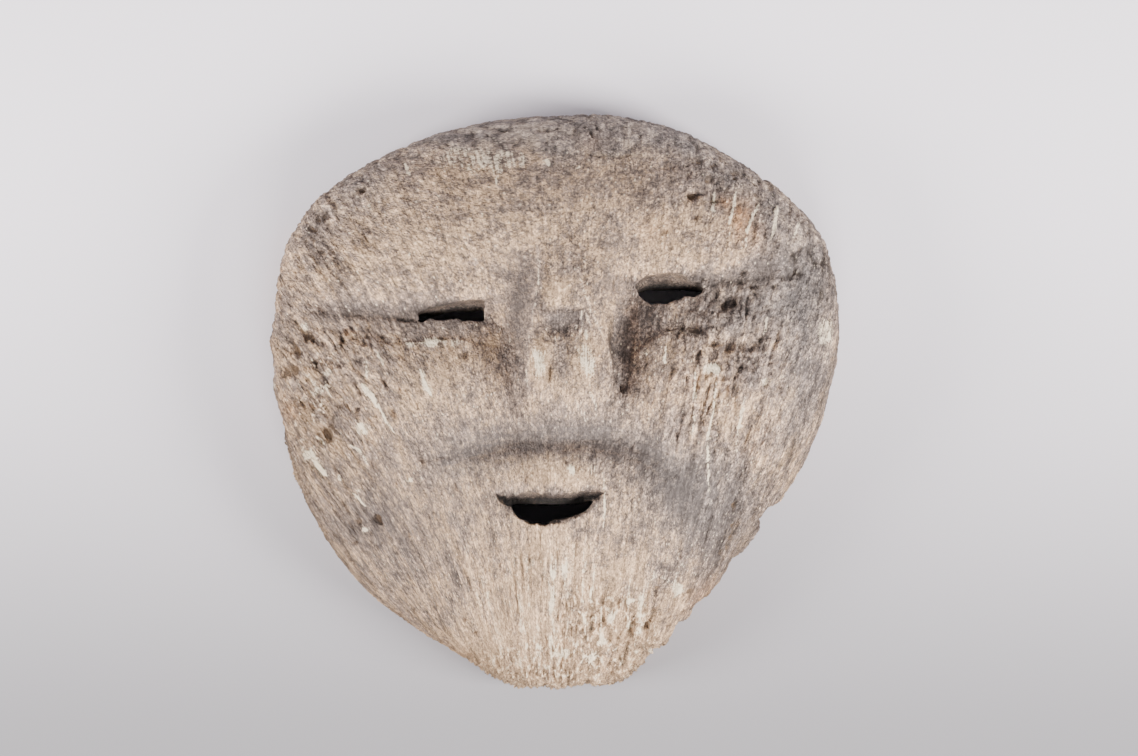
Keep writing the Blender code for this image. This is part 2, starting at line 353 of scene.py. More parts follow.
@dataclass(frozen=True)
class Outline:
    """The mask's outline seen from above, with the bites broken out of its edge."""

    points: tuple[Place, ...] = (
        (2, 106.4), (28, 105.2), (54, 97), (80, 81.5), (96, 65.5), (103, 48), (105.6, 27), (103, 7),
        (96.5, -14), (85.5, -34), (66.8, -59.5), (50.8, -80.5), (33.4, -97.5), (19, -105.8),
        (-5, -106.8), (-16, -105.4), (-29, -98.4), (-48.7, -85.8), (-66, -73.5), (-80.5, -58),
        (-92.5, -37), (-99.5, -17), (-104, 0), (-105.6, 20), (-104.2, 38), (-99.8, 58),
        (-91, 72), (-80, 81.5), (-64.4, 90.6), (-43.5, 99.2), (-21, 104),
    )
    soft_waves: int = 5
    bites: tuple[tuple[float, float, float], ...] = (
        (-28.0, 3.4, 3.2), (-42.0, 2.4, 1.0), (-55.4, 2.8, 2.0), (-61.8, 2.2, 2.8), (-69.0, 2.6, 2.6),
        (-84.0, 3.0, 1.6), (-93.0, 2.4, 0.8), (-176.0, 3.2, 1.6), (173.5, 2.6, 1.2), (163.0, 2.4, 1.0),
    )

    def radius(self, angle: np.ndarray) -> np.ndarray:
        """Measure how far the unbroken outline lies from the middle, in each direction."""
        curve = curve_points(self.points, 12, closed=True)
        angles = np.arctan2(curve[:, 1], curve[:, 0])
        order = np.argsort(angles)
        radii = np.hypot(curve[:, 0], curve[:, 1])
        return np.interp(angle, angles[order], radii[order], period=2 * math.pi)

    def soft_radius(self, angle: np.ndarray) -> np.ndarray:
        """Measure the outline with only its slow waves, which the inner forms follow."""
        around = np.linspace(-math.pi, math.pi, 720, endpoint=False)
        waves = np.fft.rfft(self.radius(around))
        waves[self.soft_waves + 1:] = 0
        return np.interp(angle, around, np.fft.irfft(waves, 720), period=2 * math.pi)

    def bite_depth(self, angle: np.ndarray) -> np.ndarray:
        """Measure how much is broken out of the edge in each direction."""
        depth = np.zeros(np.shape(angle))
        for direction, half_width, deep in self.bites:
            turn = (np.degrees(angle) - direction + 180) % 360 - 180
            depth += deep * np.exp(-(turn / half_width) ** 2)
        return depth


@dataclass(frozen=True)
class MaskForm:
    """The carved form of the face and of the hollow behind it."""

    outline: Outline = Outline()
    crown_height: float = 58.0
    widest_height: float = 12.0
    dome_power: float = 2.7
    edge_inset: float = 4.0
    bite_start: float = 0.8
    dome_share: float = 0.89
    rim_band: float = 12.0
    rim_share: float = 0.91
    hollow_height: float = 45.0
    hollow_power: float = 2.5
    saw_allowance: float = 1.2
    left_brow: Stroke = Stroke(((-96, 36), (-81, 33.8), (-64, 32.4), (-50, 31.2), (-26, 31.4), (-8, 31.4)))
    right_brow: Stroke = Stroke(((14, 39), (30, 39.6), (42, 38.6), (55, 41.8), (72, 45), (88, 48.5),
                                 (102, 50)))
    lip_groove: Stroke = Stroke(((-52, -23.5), (-38, -19.5), (-28, -17.2), (-13, -14.6), (6, -13.8),
                                 (24, -15.2), (35, -19.5), (44, -27.5), (51, -38), (55, -50)))
    lower_lip: Stroke = Stroke(((-23, -32.5), (-19, -37), (-15.5, -41), (-9, -44.4), (-1, -44.8),
                                (6, -43.4),
                                (12, -40.6), (15.5, -37), (19, -32)))
    cheeks: tuple[Mound, ...] = (
        Mound((-46, 2), (34, 19), 4.5), Mound((56, 4), (32, 22), 4.0), Mound((60, -30), (22, 26), 1.5),
    )
    nose_flanks: tuple[Mound, ...] = (
        Mound((-15.5, 14), (8, 30), -5.8), Mound((24.8, 18), (8, 21), -4.6),
        Mound((23.6, 20), (4, 12), -4.2), Mound((3, 27.5), (8, 4.6), -2.4),
        Mound((-5.2, 14), (4, 8), 1.6), Mound((11.4, 14), (4.2, 7.6), 1.6),
        Mound((1.2, 40.7), (5.6, 6.4), 1.1),
    )
    muzzle: tuple[Mound, ...] = (
        Mound((3, -37), (35, 17), 4.6), Mound((0, -72), (38, 24), 1.6),
    )
    flaws: tuple[Mound, ...] = (
        Mound((-98, 19), (3.2, 2.4), -3.0), Mound((-90, 24.5), (3.0, 2.2), -2.4),
        Mound((-98.5, 11.5), (4.6, 2.6), -2.6), Mound((-85, 14.5), (3.4, 2.6), -1.8),
        Mound((-76, 25.8), (3.0, 1.6), -2.2), Mound((-84, -12), (4.4, 3.4), -2.0),
        Mound((-74, -46), (3.4, 2.6), -1.8), Mound((-66, -44), (3.2, 2.2), -1.6),
        Mound((65, 36), (3.0, 3.4), -3.2), Mound((64, 20), (4.4, 3.0), -2.4),
        Mound((51, 27.2), (3.0, 1.8), -1.8), Mound((24.8, 4.6), (1.8, 2.6), -2.2),
        Mound((57.5, 78.5), (3.0, 2.6), -2.0), Mound((51.5, 75.6), (2.2, 2.0), -2.0),
        Mound((36.5, -70), (4.4, 5.6), -2.2), Mound((34, -83), (1.4, 3.4), -2.4),
        Mound((28, -84), (1.2, 3.2), -1.8), Mound((66.5, -47.5), (1.4, 4.4), -2.4),
        Mound((-31, -94.6), (3.0, 1.8), -1.6), Mound((-83, 67.8), (2.4, 1.6), -2.0),
        Mound((-86, 55), (4.0, 4.0), -1.6),
    )

    def share_of_outline(self, x: np.ndarray, y: np.ndarray) -> np.ndarray:
        """Tell how far out places lie, from 0 in the middle to 1 at the outline."""
        angle = np.arctan2(y, x)
        radius = self.outline.radius(angle)
        share = np.hypot(x, y) / radius
        soft = self.outline.soft_radius(angle)
        return np.clip(np.hypot(x, y) / (soft + (radius - soft) * step(0.6, 1.0, share)), 0, 1)

    def brows(self, x: np.ndarray, y: np.ndarray) -> np.ndarray:
        """Cut the brows in over the ledges of the lower lids."""
        signed, _ = self.left_brow.distance(x, y)
        reach = step(-98, -66, x) * (1 - step(-26, -10, x))
        cut = 8.0 * reach * np.exp(-(signed / np.where(signed > 0, 6.0, 15.0)) ** 2)
        signed, _ = self.right_brow.distance(x, y)
        reach = step(15, 29, x) * (1 - 0.6 * step(50, 90, x))
        return -cut - 9.0 * reach * np.exp(-(signed / np.where(signed > 0, 6.0, 14.0)) ** 2)

    def nose(self, x: np.ndarray, y: np.ndarray) -> np.ndarray:
        """Raise the wedge of the nose between its two flanks."""
        middle = value_along(((-8, 4.8), (60, 6.4)), y)
        half_width = value_along(((-10, 16), (2, 16), (20, 15.2), (45, 13), (62, 10.2)), y)
        height = value_along(((-14, 0), (-6, 5.4), (3, 9.8), (18, 9.4), (30, 7.4), (46, 4.8), (64, 0)), y)
        wedge = height * np.exp(-np.abs((x - middle) / half_width) ** 6)
        return wedge + sum(flank.rise(x, y) for flank in self.nose_flanks)

    def mouth(self, x: np.ndarray, y: np.ndarray) -> np.ndarray:
        """Shape the frowning groove and the muzzle under it with its scooped lips."""
        signed, travel = self.lip_groove.distance(x, y)
        depth = step(-0.02, 0.28, travel) * (1 - 0.85 * step(0.6, 1.0, travel))
        groove = 6.2 * depth * np.exp(-(signed / np.where(signed > 0, 11.0, 5.5)) ** 2)
        over_lip, along_lip = self.lower_lip.distance(x, y)
        corners = step(0.02, 0.2, along_lip) * step(0.98, 0.8, along_lip)
        scoop = 6.5 * corners * step(0, 2, over_lip) * step(11.5, 2, over_lip)
        return sum(form.rise(x, y) for form in self.muzzle) - groove - scoop

    def face_height(self, x: np.ndarray, y: np.ndarray) -> np.ndarray:
        """Read the height of the carved face over the rim plane."""
        share = self.share_of_outline(x, y)
        dome = self.crown_height - self.widest_height
        dome = self.widest_height + dome * np.sqrt(1 - share ** self.dome_power)
        carving = Mound((-2, 64), (80, 24), 4.0).rise(x, y) + self.brows(x, y) + self.nose(x, y)
        carving += self.mouth(x, y) + sum(cheek.rise(x, y) for cheek in self.cheeks)
        broken = sum(flaw.rise(x, y) for flaw in self.flaws)
        return dome + carving * (1 - step(0.84, 1.0, share)) + broken * (1 - step(0.95, 1.0, share))

    def hollow_ceiling(self, x: np.ndarray, y: np.ndarray) -> np.ndarray:
        """Read the height of the hollow behind the face, 0 where the wood reaches the rim."""
        inner = self.outline.soft_radius(np.arctan2(y, x)) - self.edge_inset - self.rim_band
        share = np.clip(np.hypot(x, y) / inner, 0, 1)
        return self.hollow_height * np.sqrt(1 - share ** self.hollow_power) - self.saw_allowance

    def points(self, side: Side, share: np.ndarray, angle: np.ndarray) -> np.ndarray:
        """Place grid points on one side of the wood.

        Args:
            side: the face with the outer wall, or the rim with the hollow.
            share: each point's share of the way out, 1 on the rim's outer edge.
            angle: each point's direction.

        Returns:
            The points, three numbers each.
        """
        radius = self.outline.radius(angle)
        bite = self.outline.bite_depth(angle)
        if side is Side.FACE:
            lean = np.clip(share / self.dome_share, 0, 1) * math.pi / 2
            down = np.clip((share - self.dome_share) / (1 - self.dome_share), 0, 1) * math.pi / 2
            on_dome = share <= self.dome_share
            out = np.where(on_dome, radius * np.sin(lean) ** (2 / self.dome_power),
                           radius - self.edge_inset * (1 - np.cos(down)))
            wall = self.widest_height - (self.widest_height + self.saw_allowance) * np.sin(down)
            height = np.where(on_dome, self.face_height(out * np.cos(angle), out * np.sin(angle)), wall)
            out = out - bite * step(self.bite_start, 1.0, out / radius + share - self.dome_share)
        else:
            edge = radius - self.edge_inset - bite
            inner = self.outline.soft_radius(angle) - self.edge_inset - self.rim_band
            lean = np.clip(share / self.rim_share, 0, 1) * math.pi / 2
            out = np.where(share <= self.rim_share, inner * np.sin(lean) ** (2 / self.hollow_power),
                           inner + (edge - inner) * (share - self.rim_share) / (1 - self.rim_share))
            height = np.where(share < self.rim_share, self.hollow_height * np.cos(lean), 0)
            height = height - self.saw_allowance
        return np.stack([out * np.cos(angle), out * np.sin(angle), height], axis=-1)


@dataclass(frozen=True)
class SlitCut:
    """A cut through the wall that gets lower and drops towards the chin as it goes in."""

    name: str
    outline: tuple[Place, ...]
    level: float
    keep: float
    drop: float
    top: float = 76.0
    bottom: float = 33.0

    def build(self) -> bpy.types.Object:
        """Make the cutting prism.

        Returns:
            The cutter, which takes no part in the scene itself.
        """
        shape = bmesh.new()
        rings = []
        foot = min(y for _, y in self.outline)
        for height in (self.bottom, self.top):
            inward = (self.level - height) / (self.level - self.bottom)
            tall = 1 - (1 - self.keep) * inward
            places = [(x, foot + (y - foot) * tall - self.drop * inward) for x, y in self.outline]
            rings.append([shape.verts.new((x * MM, y * MM, height * MM)) for x, y in places])
        low, high = rings
        shape.faces.new(low)
        shape.faces.new(high[::-1])
        for index, corner in enumerate(low):
            following = (index + 1) % len(low)
            shape.faces.new((corner, high[index], high[following], low[following]))
        bmesh.ops.recalc_face_normals(shape, faces=shape.faces)
        return object_from(shape, self.name)


def object_from(shape: bmesh.types.BMesh, name: str) -> bpy.types.Object:
    """Turn a working mesh into an object of the scene.

    Args:
        shape: the working mesh, which is freed.
        name: the object's name.

    Returns:
        The new object.
    """
    mesh = bpy.data.meshes.new(name)
    shape.to_mesh(mesh)
    shape.free()
    item = bpy.data.objects.new(name, mesh)
    bpy.context.scene.collection.objects.link(item)
    return item


def settle(item: bpy.types.Object) -> None:
    """Turn an object's modifiers into its mesh."""
    graph = bpy.context.evaluated_depsgraph_get()
    mesh = bpy.data.meshes.new_from_object(item.evaluated_get(graph))
    item.modifiers.clear()
    old = item.data
    item.data = mesh
    bpy.data.meshes.remove(old)
    mesh.name = item.name


@dataclass(frozen=True)
class Grain:
    """Where the fibres run: almost straight down the face, drawing together towards the chin."""

    left_draw: float = 0.0085
    right_draw: float = 0.0035
    level: float = 20.0

    def lay(self, form: MaskForm, at: np.ndarray) -> tuple[np.ndarray, np.ndarray]:
        """Unroll the surface and lay the fibres on it.

        Args:
            form: the mask's form.
            at: the places, three numbers each.

        Returns:
            Each place's distance across the fibres and along them.
        """
        x, y, z = at.T
        out = np.hypot(x, y)
        share = form.share_of_outline(x, y)
        shares = np.linspace(0, 1, 200)
        heights = (form.crown_height - form.widest_height) * np.sqrt(1 - shares ** form.dome_power)
        mean_radius = 100.0
        lengths = np.concatenate([[0], np.cumsum(np.hypot(np.diff(shares) * mean_radius,
                                                          np.diff(heights)))])
        extra = np.interp(share, shares, lengths - shares * mean_radius)
        extra = extra + np.clip(form.widest_height - z, 0, None) * step(0.93, 0.99, share)
        stretch = 1 + extra / np.maximum(out, 1.0)
        x, y = x * stretch, y * stretch
        draw = self.left_draw + (self.right_draw - self.left_draw) * step(-30, 30, x)
        return x * np.exp(-draw * (y - self.level)), y


@dataclass(frozen=True)
class Weather:
    """What time did to the wood: pits, cracks, fibres, crumbling and staining, with painted shade in its
    slits, creases and hollows and painted light on its ridges and crumbs.
    """

    form: MaskForm
    grain: Grain = Grain()
    pits: tuple[tuple[Place, Place], ...] = (
        ((-96.3, 18.8), (3.0, 2.2)), ((-90.4, 24.0), (2.2, 1.8)), ((-98.6, 11.0), (3.4, 2.0)),
        ((-88.2, 14.7), (1.9, 1.4)), ((-85.6, 21.4), (1.9, 1.4)), ((-76.3, 25.9), (2.4, 1.3)),
        ((-69.9, 21.4), (1.9, 1.0)), ((-72.2, 39.2), (1.0, 0.9)), ((-56.5, 16.2), (1.1, 0.7)),
        ((-63.2, 24.0), (1.9, 0.7)), ((-84.1, -11.7), (2.6, 3.0)), ((-72.2, -44.8), (1.1, 1.1)),
        ((-65.8, -43.7), (1.5, 1.1)), ((-83.0, 67.9), (1.2, 0.8)), ((-71.1, 78.3), (1.5, 1.1)),
        ((-86.3, 54.9), (1.5, 1.1)), ((-19.7, 94.7), (1.1, 0.8)), ((-6.0, 100.3), (1.1, 0.8)),
        ((-26.0, 85.4), (1.6, 0.5)), ((51.3, 75.7), (1.5, 1.5)), ((56.9, 82.0), (1.5, 1.9)),
        ((53.6, 88.7), (1.5, 1.1)), ((58.4, 87.2), (1.1, 0.8)), ((64.7, 35.5), (2.4, 1.9)),
        ((68.8, 46.7), (1.9, 0.9)), ((72.2, 42.2), (1.5, 0.9)), ((80.4, 42.6), (1.1, 1.1)),
        ((51.0, 27.3), (1.9, 1.4)), ((64.7, 19.5), (1.9, 1.5)), ((60.6, 13.6), (0.9, 1.4)),
        ((61.8, 5.0), (0.9, 1.5)), ((51.3, 7.6), (0.8, 1.1)), ((-41.3, 23.2), (1.3, 1.1)),
        ((-32.7, 16.9), (1.9, 1.3)), ((-30.9, -94.7), (2.2, 1.3)), ((-33.5, -81.3), (0.8, 0.8)),
        ((-29.0, -85.7), (0.9, 0.9)), ((-23.1, -82.8), (0.8, 0.8)), ((-49.8, -52.3), (0.7, 1.2)),
        ((-74.0, -52.6), (0.9, 0.8)), ((-49.5, -22.1), (1.2, 0.9)), ((34.2, -82.8), (0.9, 2.2)),
        ((28.3, -83.9), (0.8, 2.4)), ((20.5, -88.3), (0.8, 2.2)), ((13.0, -72.0), (0.8, 2.0)),
        ((66.2, -47.1), (0.8, 1.9)), ((39.8, -65.7), (2.0, 1.4)), ((24.9, 4.7), (1.0, 1.5)),
        ((-1.9, 10.6), (1.0, 3.0)), ((86.3, -5.4), (0.9, 1.9)), ((45.0, -12.8), (1.1, 1.1)),
        ((-78.1, -1.7), (1.5, 1.5)), ((-94.9, 0.2), (1.5, 1.1)), ((-100.4, 2.0), (1.1, 1.1)),
        ((-72.5, -4.3), (1.8, 2.2)), ((49.5, 33.7), (1.5, 0.8)), ((50.6, -70.5), (1.5, 1.1)),
        ((67.0, -38.9), (1.5, 1.1)),
    )
    cracks: tuple[Stroke, ...] = (
        Stroke(((11.2, 90.6), (16.0, 90.6), (21.6, 90.2), (28.3, 90.6))),
        Stroke(((37.2, 86.5), (43.5, 86.1), (50.2, 87.2))),
        Stroke(((-71.1, 63.4), (-69.6, 59.0))),
        Stroke(((-78.5, -50.8), (-76.3, -52.3), (-73.7, -53.0))),
        Stroke(((-57.7, 29.6), (-54.7, 29.6), (-51.0, 29.6))),
        Stroke(((86.7, 20.6), (84.8, 15.1), (82.6, 10.2))),
        Stroke(((66.2, -45.6), (64.7, -51.9), (61.4, -59.3))),
        Stroke(((22.3, 45.9), (21.9, 42.6), (22.3, 39.6))),
        Stroke(((68.8, 46.7), (73.3, 47.8), (78.1, 47.1))),
        Stroke(((51.3, 43.0), (61.4, 44.5), (68.8, 43.3), (75.1, 41.9))),
        Stroke(((-49.8, -22.9), (-44.6, -21.4), (-39.1, -20.3))),
        Stroke(((-3.7, 20.6), (-4.5, 13.2))),
        Stroke(((4.8, 20.6), (4.5, 15.8))),
        Stroke(((42.0, 26.2), (46.5, 27.7), (52.1, 26.2))),
    )
    streaks: tuple[tuple[Stroke, float], ...] = (
        (Stroke(((-49.3, 11.8), (-47.4, 6.9), (-45.4, 1.6))), 1.3),
        (Stroke(((-71.4, 6.5), (-67.7, 2.0), (-64.4, -2.8))), 1.2),
        (Stroke(((-64.4, -2.8), (-62.0, -7.0), (-59.0, -12.0))), 0.5),
        (Stroke(((-91.0, -18.8), (-88.2, -23.0), (-84.4, -27.6))), 1.3),
        (Stroke(((-75.9, -16.2), (-71.8, -18.4), (-68.8, -23.2))), 0.6),
        (Stroke(((-88.2, -13.2), (-84.8, -16.2))), 0.7),
        (Stroke(((-74.4, -34.0), (-69.9, -38.9))), 0.5),
        (Stroke(((-55.8, 88.3), (-54.7, 85.4), (-53.6, 83.1))), 0.5),
        (Stroke(((67.0, 79.0), (66.2, 72.7), (65.1, 68.3), (63.2, 58.2))), 0.5),
        (Stroke(((76.3, 74.2), (74.0, 70.5), (71.1, 63.4), (69.9, 56.0))), 0.6),
        (Stroke(((82.2, 72.4), (81.5, 66.4), (79.6, 59.0))), 0.9),
        (Stroke(((90.8, 66.4), (88.2, 60.5))), 0.5),
        (Stroke(((58.8, 77.2), (58.4, 72.4), (58.0, 67.9))), 0.5),
        (Stroke(((78.1, 31.1), (77.4, 27.0), (76.6, 23.2))), 0.6),
        (Stroke(((51.3, 10.6), (51.0, 0.2), (50.6, -14.7))), 0.4),
        (Stroke(((59.1, 7.6), (58.0, -3.5), (56.2, -14.7), (56.5, -29.6), (57.7, -37.0))), 0.5),
        (Stroke(((69.9, 3.2), (68.1, -7.3), (66.2, -20.3))), 0.5),
        (Stroke(((18.2, -27.7), (18.2, -37.0), (17.9, -46.3))), 0.5),
        (Stroke(((-69.6, 13.2), (-68.8, 8.4))), 0.5),
        (Stroke(((-65.1, 18.0), (-62.9, 12.8))), 0.5),
        (Stroke(((-48.4, 22.5), (-45.8, 19.5))), 0.6),
        (Stroke(((47.2, -68.3), (43.5, -73.5))), 0.5),
        (Stroke(((34.2, -79.0), (30.5, -79.4))), 0.5),
        (Stroke(((40.9, 20.6), (40.2, 13.2))), 0.4),
        (Stroke(((11.2, 26.2), (11.5, 22.5))), 0.5),
        (Stroke(((-2.2, 89.5), (-2.6, 86.5))), 0.6),
        (Stroke(((-21.2, 83.9), (-21.6, 79.0))), 0.5),
    )
    ledges: tuple[Ledge, ...] = (
        Ledge(((27.4, 13.0), (29.4, 17.6), (33.5, 21.0), (38.3, 24.4), (45.4, 24.7), (53.2, 23.6),
               (56.9, 20.6),
               (64.7, 21.0), (71.0, 18.5), (78.0, 22.0)), 1.5, 4.6),
        Ledge(((-80.0, 20.4), (-70.0, 21.6), (-58.0, 21.2), (-46.0, 22.4), (-36.0, 22.8), (-29.4, 21.0),
               (-22.4, 20.0)), 0.6, 3.6),
        Ledge(((46.0, -66.0), (42.0, -69.0), (36.0, -68.6), (32.6, -74.0), (31.8, -80.0)), 1.6, 6.0),
    )
    # Lines along ridges and creases: a positive lift raises the relief and paints a highlight along a
    # ridge, a negative one lowers it and paints shade along a crease.
    edges: tuple[tuple[Stroke, float, float], ...] = (
        (Stroke(((-5.6, 59.0), (-6.2, 41.0), (-8.9, 25.0), (-10.2, 9.5), (-9.8, -2.0))), 0.7, 0.55),
        (Stroke(((8.2, 48.5), (11.9, 36.6), (16.7, 25.5), (20.0, 17.0), (20.8, 6.0))), 0.7, 0.5),
        (Stroke(((10.9, 33.6), (12.6, 29.0), (15.0, 24.0))), 0.5, 0.5),
        (Stroke(((-1.0, 16.0), (-1.6, 12.0), (-2.2, 6.0))), 0.7, -0.5),
        (Stroke(((6.8, 20.0), (6.2, 14.0), (7.6, 8.0), (10.2, 3.0))), 0.6, -0.4),
        (Stroke(((14.6, 17.0), (13.4, 11.0))), 0.6, -0.4),
        (Stroke(((16.8, 19.0), (17.2, 13.0), (14.2, 7.0))), 0.6, -0.3),
        (Stroke(((-9.2, 22.0), (-5.4, 22.9), (-2.4, 22.0))), 0.6, -0.35),
        (Stroke(((-4.9, 33.4), (3.0, 33.2), (10.4, 33.8))), 0.8, -0.4),
        (Stroke(((-0.2, 26.0), (0.6, 20.0))), 0.5, 0.6),
        (Stroke(((9.6, 34.0), (10.2, 27.0), (7.6, 22.0))), 0.5, 0.6),
        (Stroke(((-12.4, 3.0), (-11.6, -3.0), (-9.4, -8.0))), 0.5, 0.5),
        (Stroke(((12.6, 4.0), (15.0, -2.0), (14.6, -7.0))), 0.6, 0.7),
        (Stroke(((7.4, 1.0), (9.6, -4.0), (11.4, -8.0))), 0.5, 0.6),
        (Stroke(((-4.9, 33.8), (-4.4, 39.0), (-3.8, 45.2))), 0.5, -0.35),
        (Stroke(((20.9, 32.0), (20.6, 24.0), (21.4, 15.0), (22.6, 6.5))), 0.9, -0.7),
        (Stroke(((-29.4, 21.0), (-21.9, 20.3), (-20.1, 17.3), (-19.0, 12.3))), 0.6, -0.25),
        (Stroke(((-92.0, 33.0), (-81.0, 32.0), (-64.0, 30.8), (-50.0, 29.6))), 0.9, -0.6),
        (Stroke(((56.0, 42.0), (66.0, 44.0), (78.0, 45.0), (92.0, 47.0))), 1.1, -0.5),
        (Stroke(((34.0, -65.0), (32.0, -74.0), (30.0, -84.0))), 0.7, 0.6),
        (Stroke(((44.0, -67.0), (38.0, -64.6), (34.0, -65.0))), 0.7, 0.5),
        (Stroke(((28.0, 17.0), (31.0, 20.6), (36.0, 24.8), (45.4, 25.2), (53.0, 24.0), (57.0, 21.4))),
         0.6, 0.45),
        (Stroke(((-58.0, 20.4), (-46.0, 21.8), (-36.0, 22.0), (-29.0, 20.2))), 0.6, 0.2),
    )
    patches: tuple[tuple[Place, Place, float], ...] = (
        ((-70.7, -10.2), (2.6, 3.0), 0.8), ((-39.6, 90.6), (2.8, 2.0), 0.55),
        ((-31.4, 87.0), (2.4, 3.2), 0.55),
        ((-21.4, 85.6), (2.8, 2.4), 0.62), ((-17.7, 91.6), (3.8, 1.6), 0.48),
        ((-12.0, 88.0), (1.8, 3.0), 0.5),
        ((-26.0, 89.2), (15.0, 5.5), 0.42), ((-36.0, 91.0), (8.0, 4.0), 0.38),
        ((-3.0, 88.3), (1.1, 1.5), 0.7), ((-35.7, 76.4), (0.9, 1.1), 0.7),
        ((-42.0, 86.5), (1.1, 0.9), 0.6), ((-68.1, 72.4), (0.9, 0.9), 0.7), ((8.6, 85.7), (0.9, 1.1), 0.8),
        ((8.6, 66.8), (0.7, 0.7), 0.8), ((100.1, 25.1), (3.2, 5.4), 0.7), ((58.4, 11.7), (3.0, 2.2), 0.8),
        ((77.7, 6.9), (2.2, 1.5), 0.6), ((6.3, -24.7), (1.7, 1.6), 1.0), ((-79.6, -28.8), (1.1, 0.9), 0.7),
        ((-53.6, -29.2), (1.3, 0.9), 0.8), ((-69.9, -47.4), (1.8, 0.9), 0.8),
        ((-92.6, 27.3), (1.8, 1.8), 0.7),
        ((-5.6, 14.6), (2.9, 7.4), 0.62), ((11.8, 15.2), (3.6, 6.8), 0.58),
        ((-45.0, 21.4), (5.0, 1.7), 0.75),
        ((-37.5, 20.8), (3.0, 1.4), 0.6), ((-53.0, 20.6), (2.4, 1.2), 0.6),
        ((33.0, 18.0), (1.2, 3.0), 0.4), ((-83.7, 10.6), (1.9, 1.9), 0.5),
        ((-105.3, 5.8), (1.5, 1.5), 0.6), ((-69.9, 14.3), (1.1, 1.1), 0.5),
        ((45.4, -69.8), (2.6, 1.9), 0.8),
        ((17.5, -89.1), (2.2, 2.6), 0.6), ((13.0, -94.7), (3.3, 2.6), 0.6),
        ((27.2, -74.2), (2.6, 2.2), 0.5),
        ((4.1, -92.8), (3.7, 1.6), 0.5), ((20.8, -78.7), (1.6, 3.0), 0.6), ((31.6, -74.2), (1.2, 3.0), 0.5),
        ((-87.0, 3.2), (1.5, 1.5), 0.5), ((1.9, -61.6), (3.0, 3.3), 0.4), ((-8.2, -59.3), (2.2, 3.0), 0.35),
        ((-90.8, -19.5), (2.2, 2.2), 0.6), ((-86.3, -26.2), (1.6, 1.6), 0.5),
        ((-71.8, -33.3), (1.5, 1.1), 0.5),
        ((-48.4, -28.8), (1.5, 1.1), 0.4), ((13.8, -24.4), (2.4, 2.0), 0.5),
        ((19.7, 51.5), (1.5, 3.0), 0.3),
    )
    bare_wood: tuple[Mound, ...] = (
        Mound((69.0, 67.5), (4.2, 6.8), 1.2, -12), Mound((62.5, 73.5), (2.8, 2.4), 0.9),
        Mound((74.5, 61.5), (2.6, 4.5), 0.5, -20), Mound((14.0, 96.0), (6.0, 4.0), 0.35),
        Mound((36.0, 63.0), (6.0, 5.0), 0.2), Mound((-60.0, -84.0), (16.0, 4.0), 0.35, -35),
        Mound((55.0, -72.0), (5.0, 8.0), 0.35, -35), Mound((-98.0, -4.0), (4.0, 4.0), 0.35),
        Mound((-36.0, -97.0), (12.0, 4.0), 0.35, -30), Mound((46.0, 3.0), (8.0, 8.0), 0.08),
    )
    base_grime: float = 0.41
    # Staining, with painted shade in the valleys beside the nose and in the creases under the slits.
    stains_and_shade: tuple[Mound, ...] = (
        Mound((-62, 90), (30, 9), 0.15, 30), Mound((64, 86), (32, 11), 0.2, -35),
        Mound((90, 8), (13, 24), 0.32),
        Mound((48, 79), (12, 7), 0.2), Mound((-66, 28.5), (26, 5), 0.25), Mound((-13.5, 44), (5, 15), 0.25),
        Mound((-38, 26), (22, 3.5), 0.26), Mound((28, 14), (5, 14), 0.4),
        Mound((62, 34), (22, 9), 0.26), Mound((82, 48), (16, 9), 0.3), Mound((96, 42), (10, 24), 0.2),
        Mound((69, 16), (9, 12), 0.25), Mound((56, -38), (16, 20), 0.5), Mound((70, -40), (10, 14), 0.25),
        Mound((48, -34), (8, 14), 0.25), Mound((-62, -36), (20, 9), 0.2, 20),
        Mound((-72, -46), (12, 7), 0.3),
        Mound((-78, -8), (10, 9), 0.15), Mound((-60, -52), (14, 9), 0.2), Mound((36, 30), (10, 6), 0.3),
        Mound((14, 58), (10, 10), 0.12), Mound((-3, 78), (26, 5), 0.15), Mound((56, -52), (8, 8), 0.3),
    )
    # The valley left of the nose, which gets painted shade and dirt.
    nose_valley: Stroke = Stroke(((-8.2, 61), (-9.6, 41), (-13.4, 30), (-15.2, 18), (-15.2, 4),
                                  (-16.5, -12)))
    valley_fill: Mound = Mound((-17.5, 11), (5, 12), 1.0, power=2.0)
    # Lighter and darker patches on the nose; the darkening in the notch of the bridge is dirt and painted
    # shade, and in the hollow right of the nose painted shade.
    nose_tones_and_shade: tuple[Mound, ...] = (
        Mound((-5.6, 14.3), (3.9, 8.0), -0.65, power=2.0),
        Mound((11.8, 15.4), (4.4, 7.4), -0.65, power=2.0),
        Mound((3.2, 29.6), (8.6, 4.8), 0.55, power=2.0), Mound((1.2, 39.3), (5.8, 6.2), -0.5, power=2.0),
        Mound((23.8, 20), (3.7, 13), 0.36, power=2.0), Mound((2.9, 14), (3.2, 8), 0.16, power=2.0),
        Mound((9.4, 30.6), (2.0, 2.4), 0.4, power=2.0), Mound((3.0, 47.5), (8.0, 2.0), 0.2, power=2.0),
    )
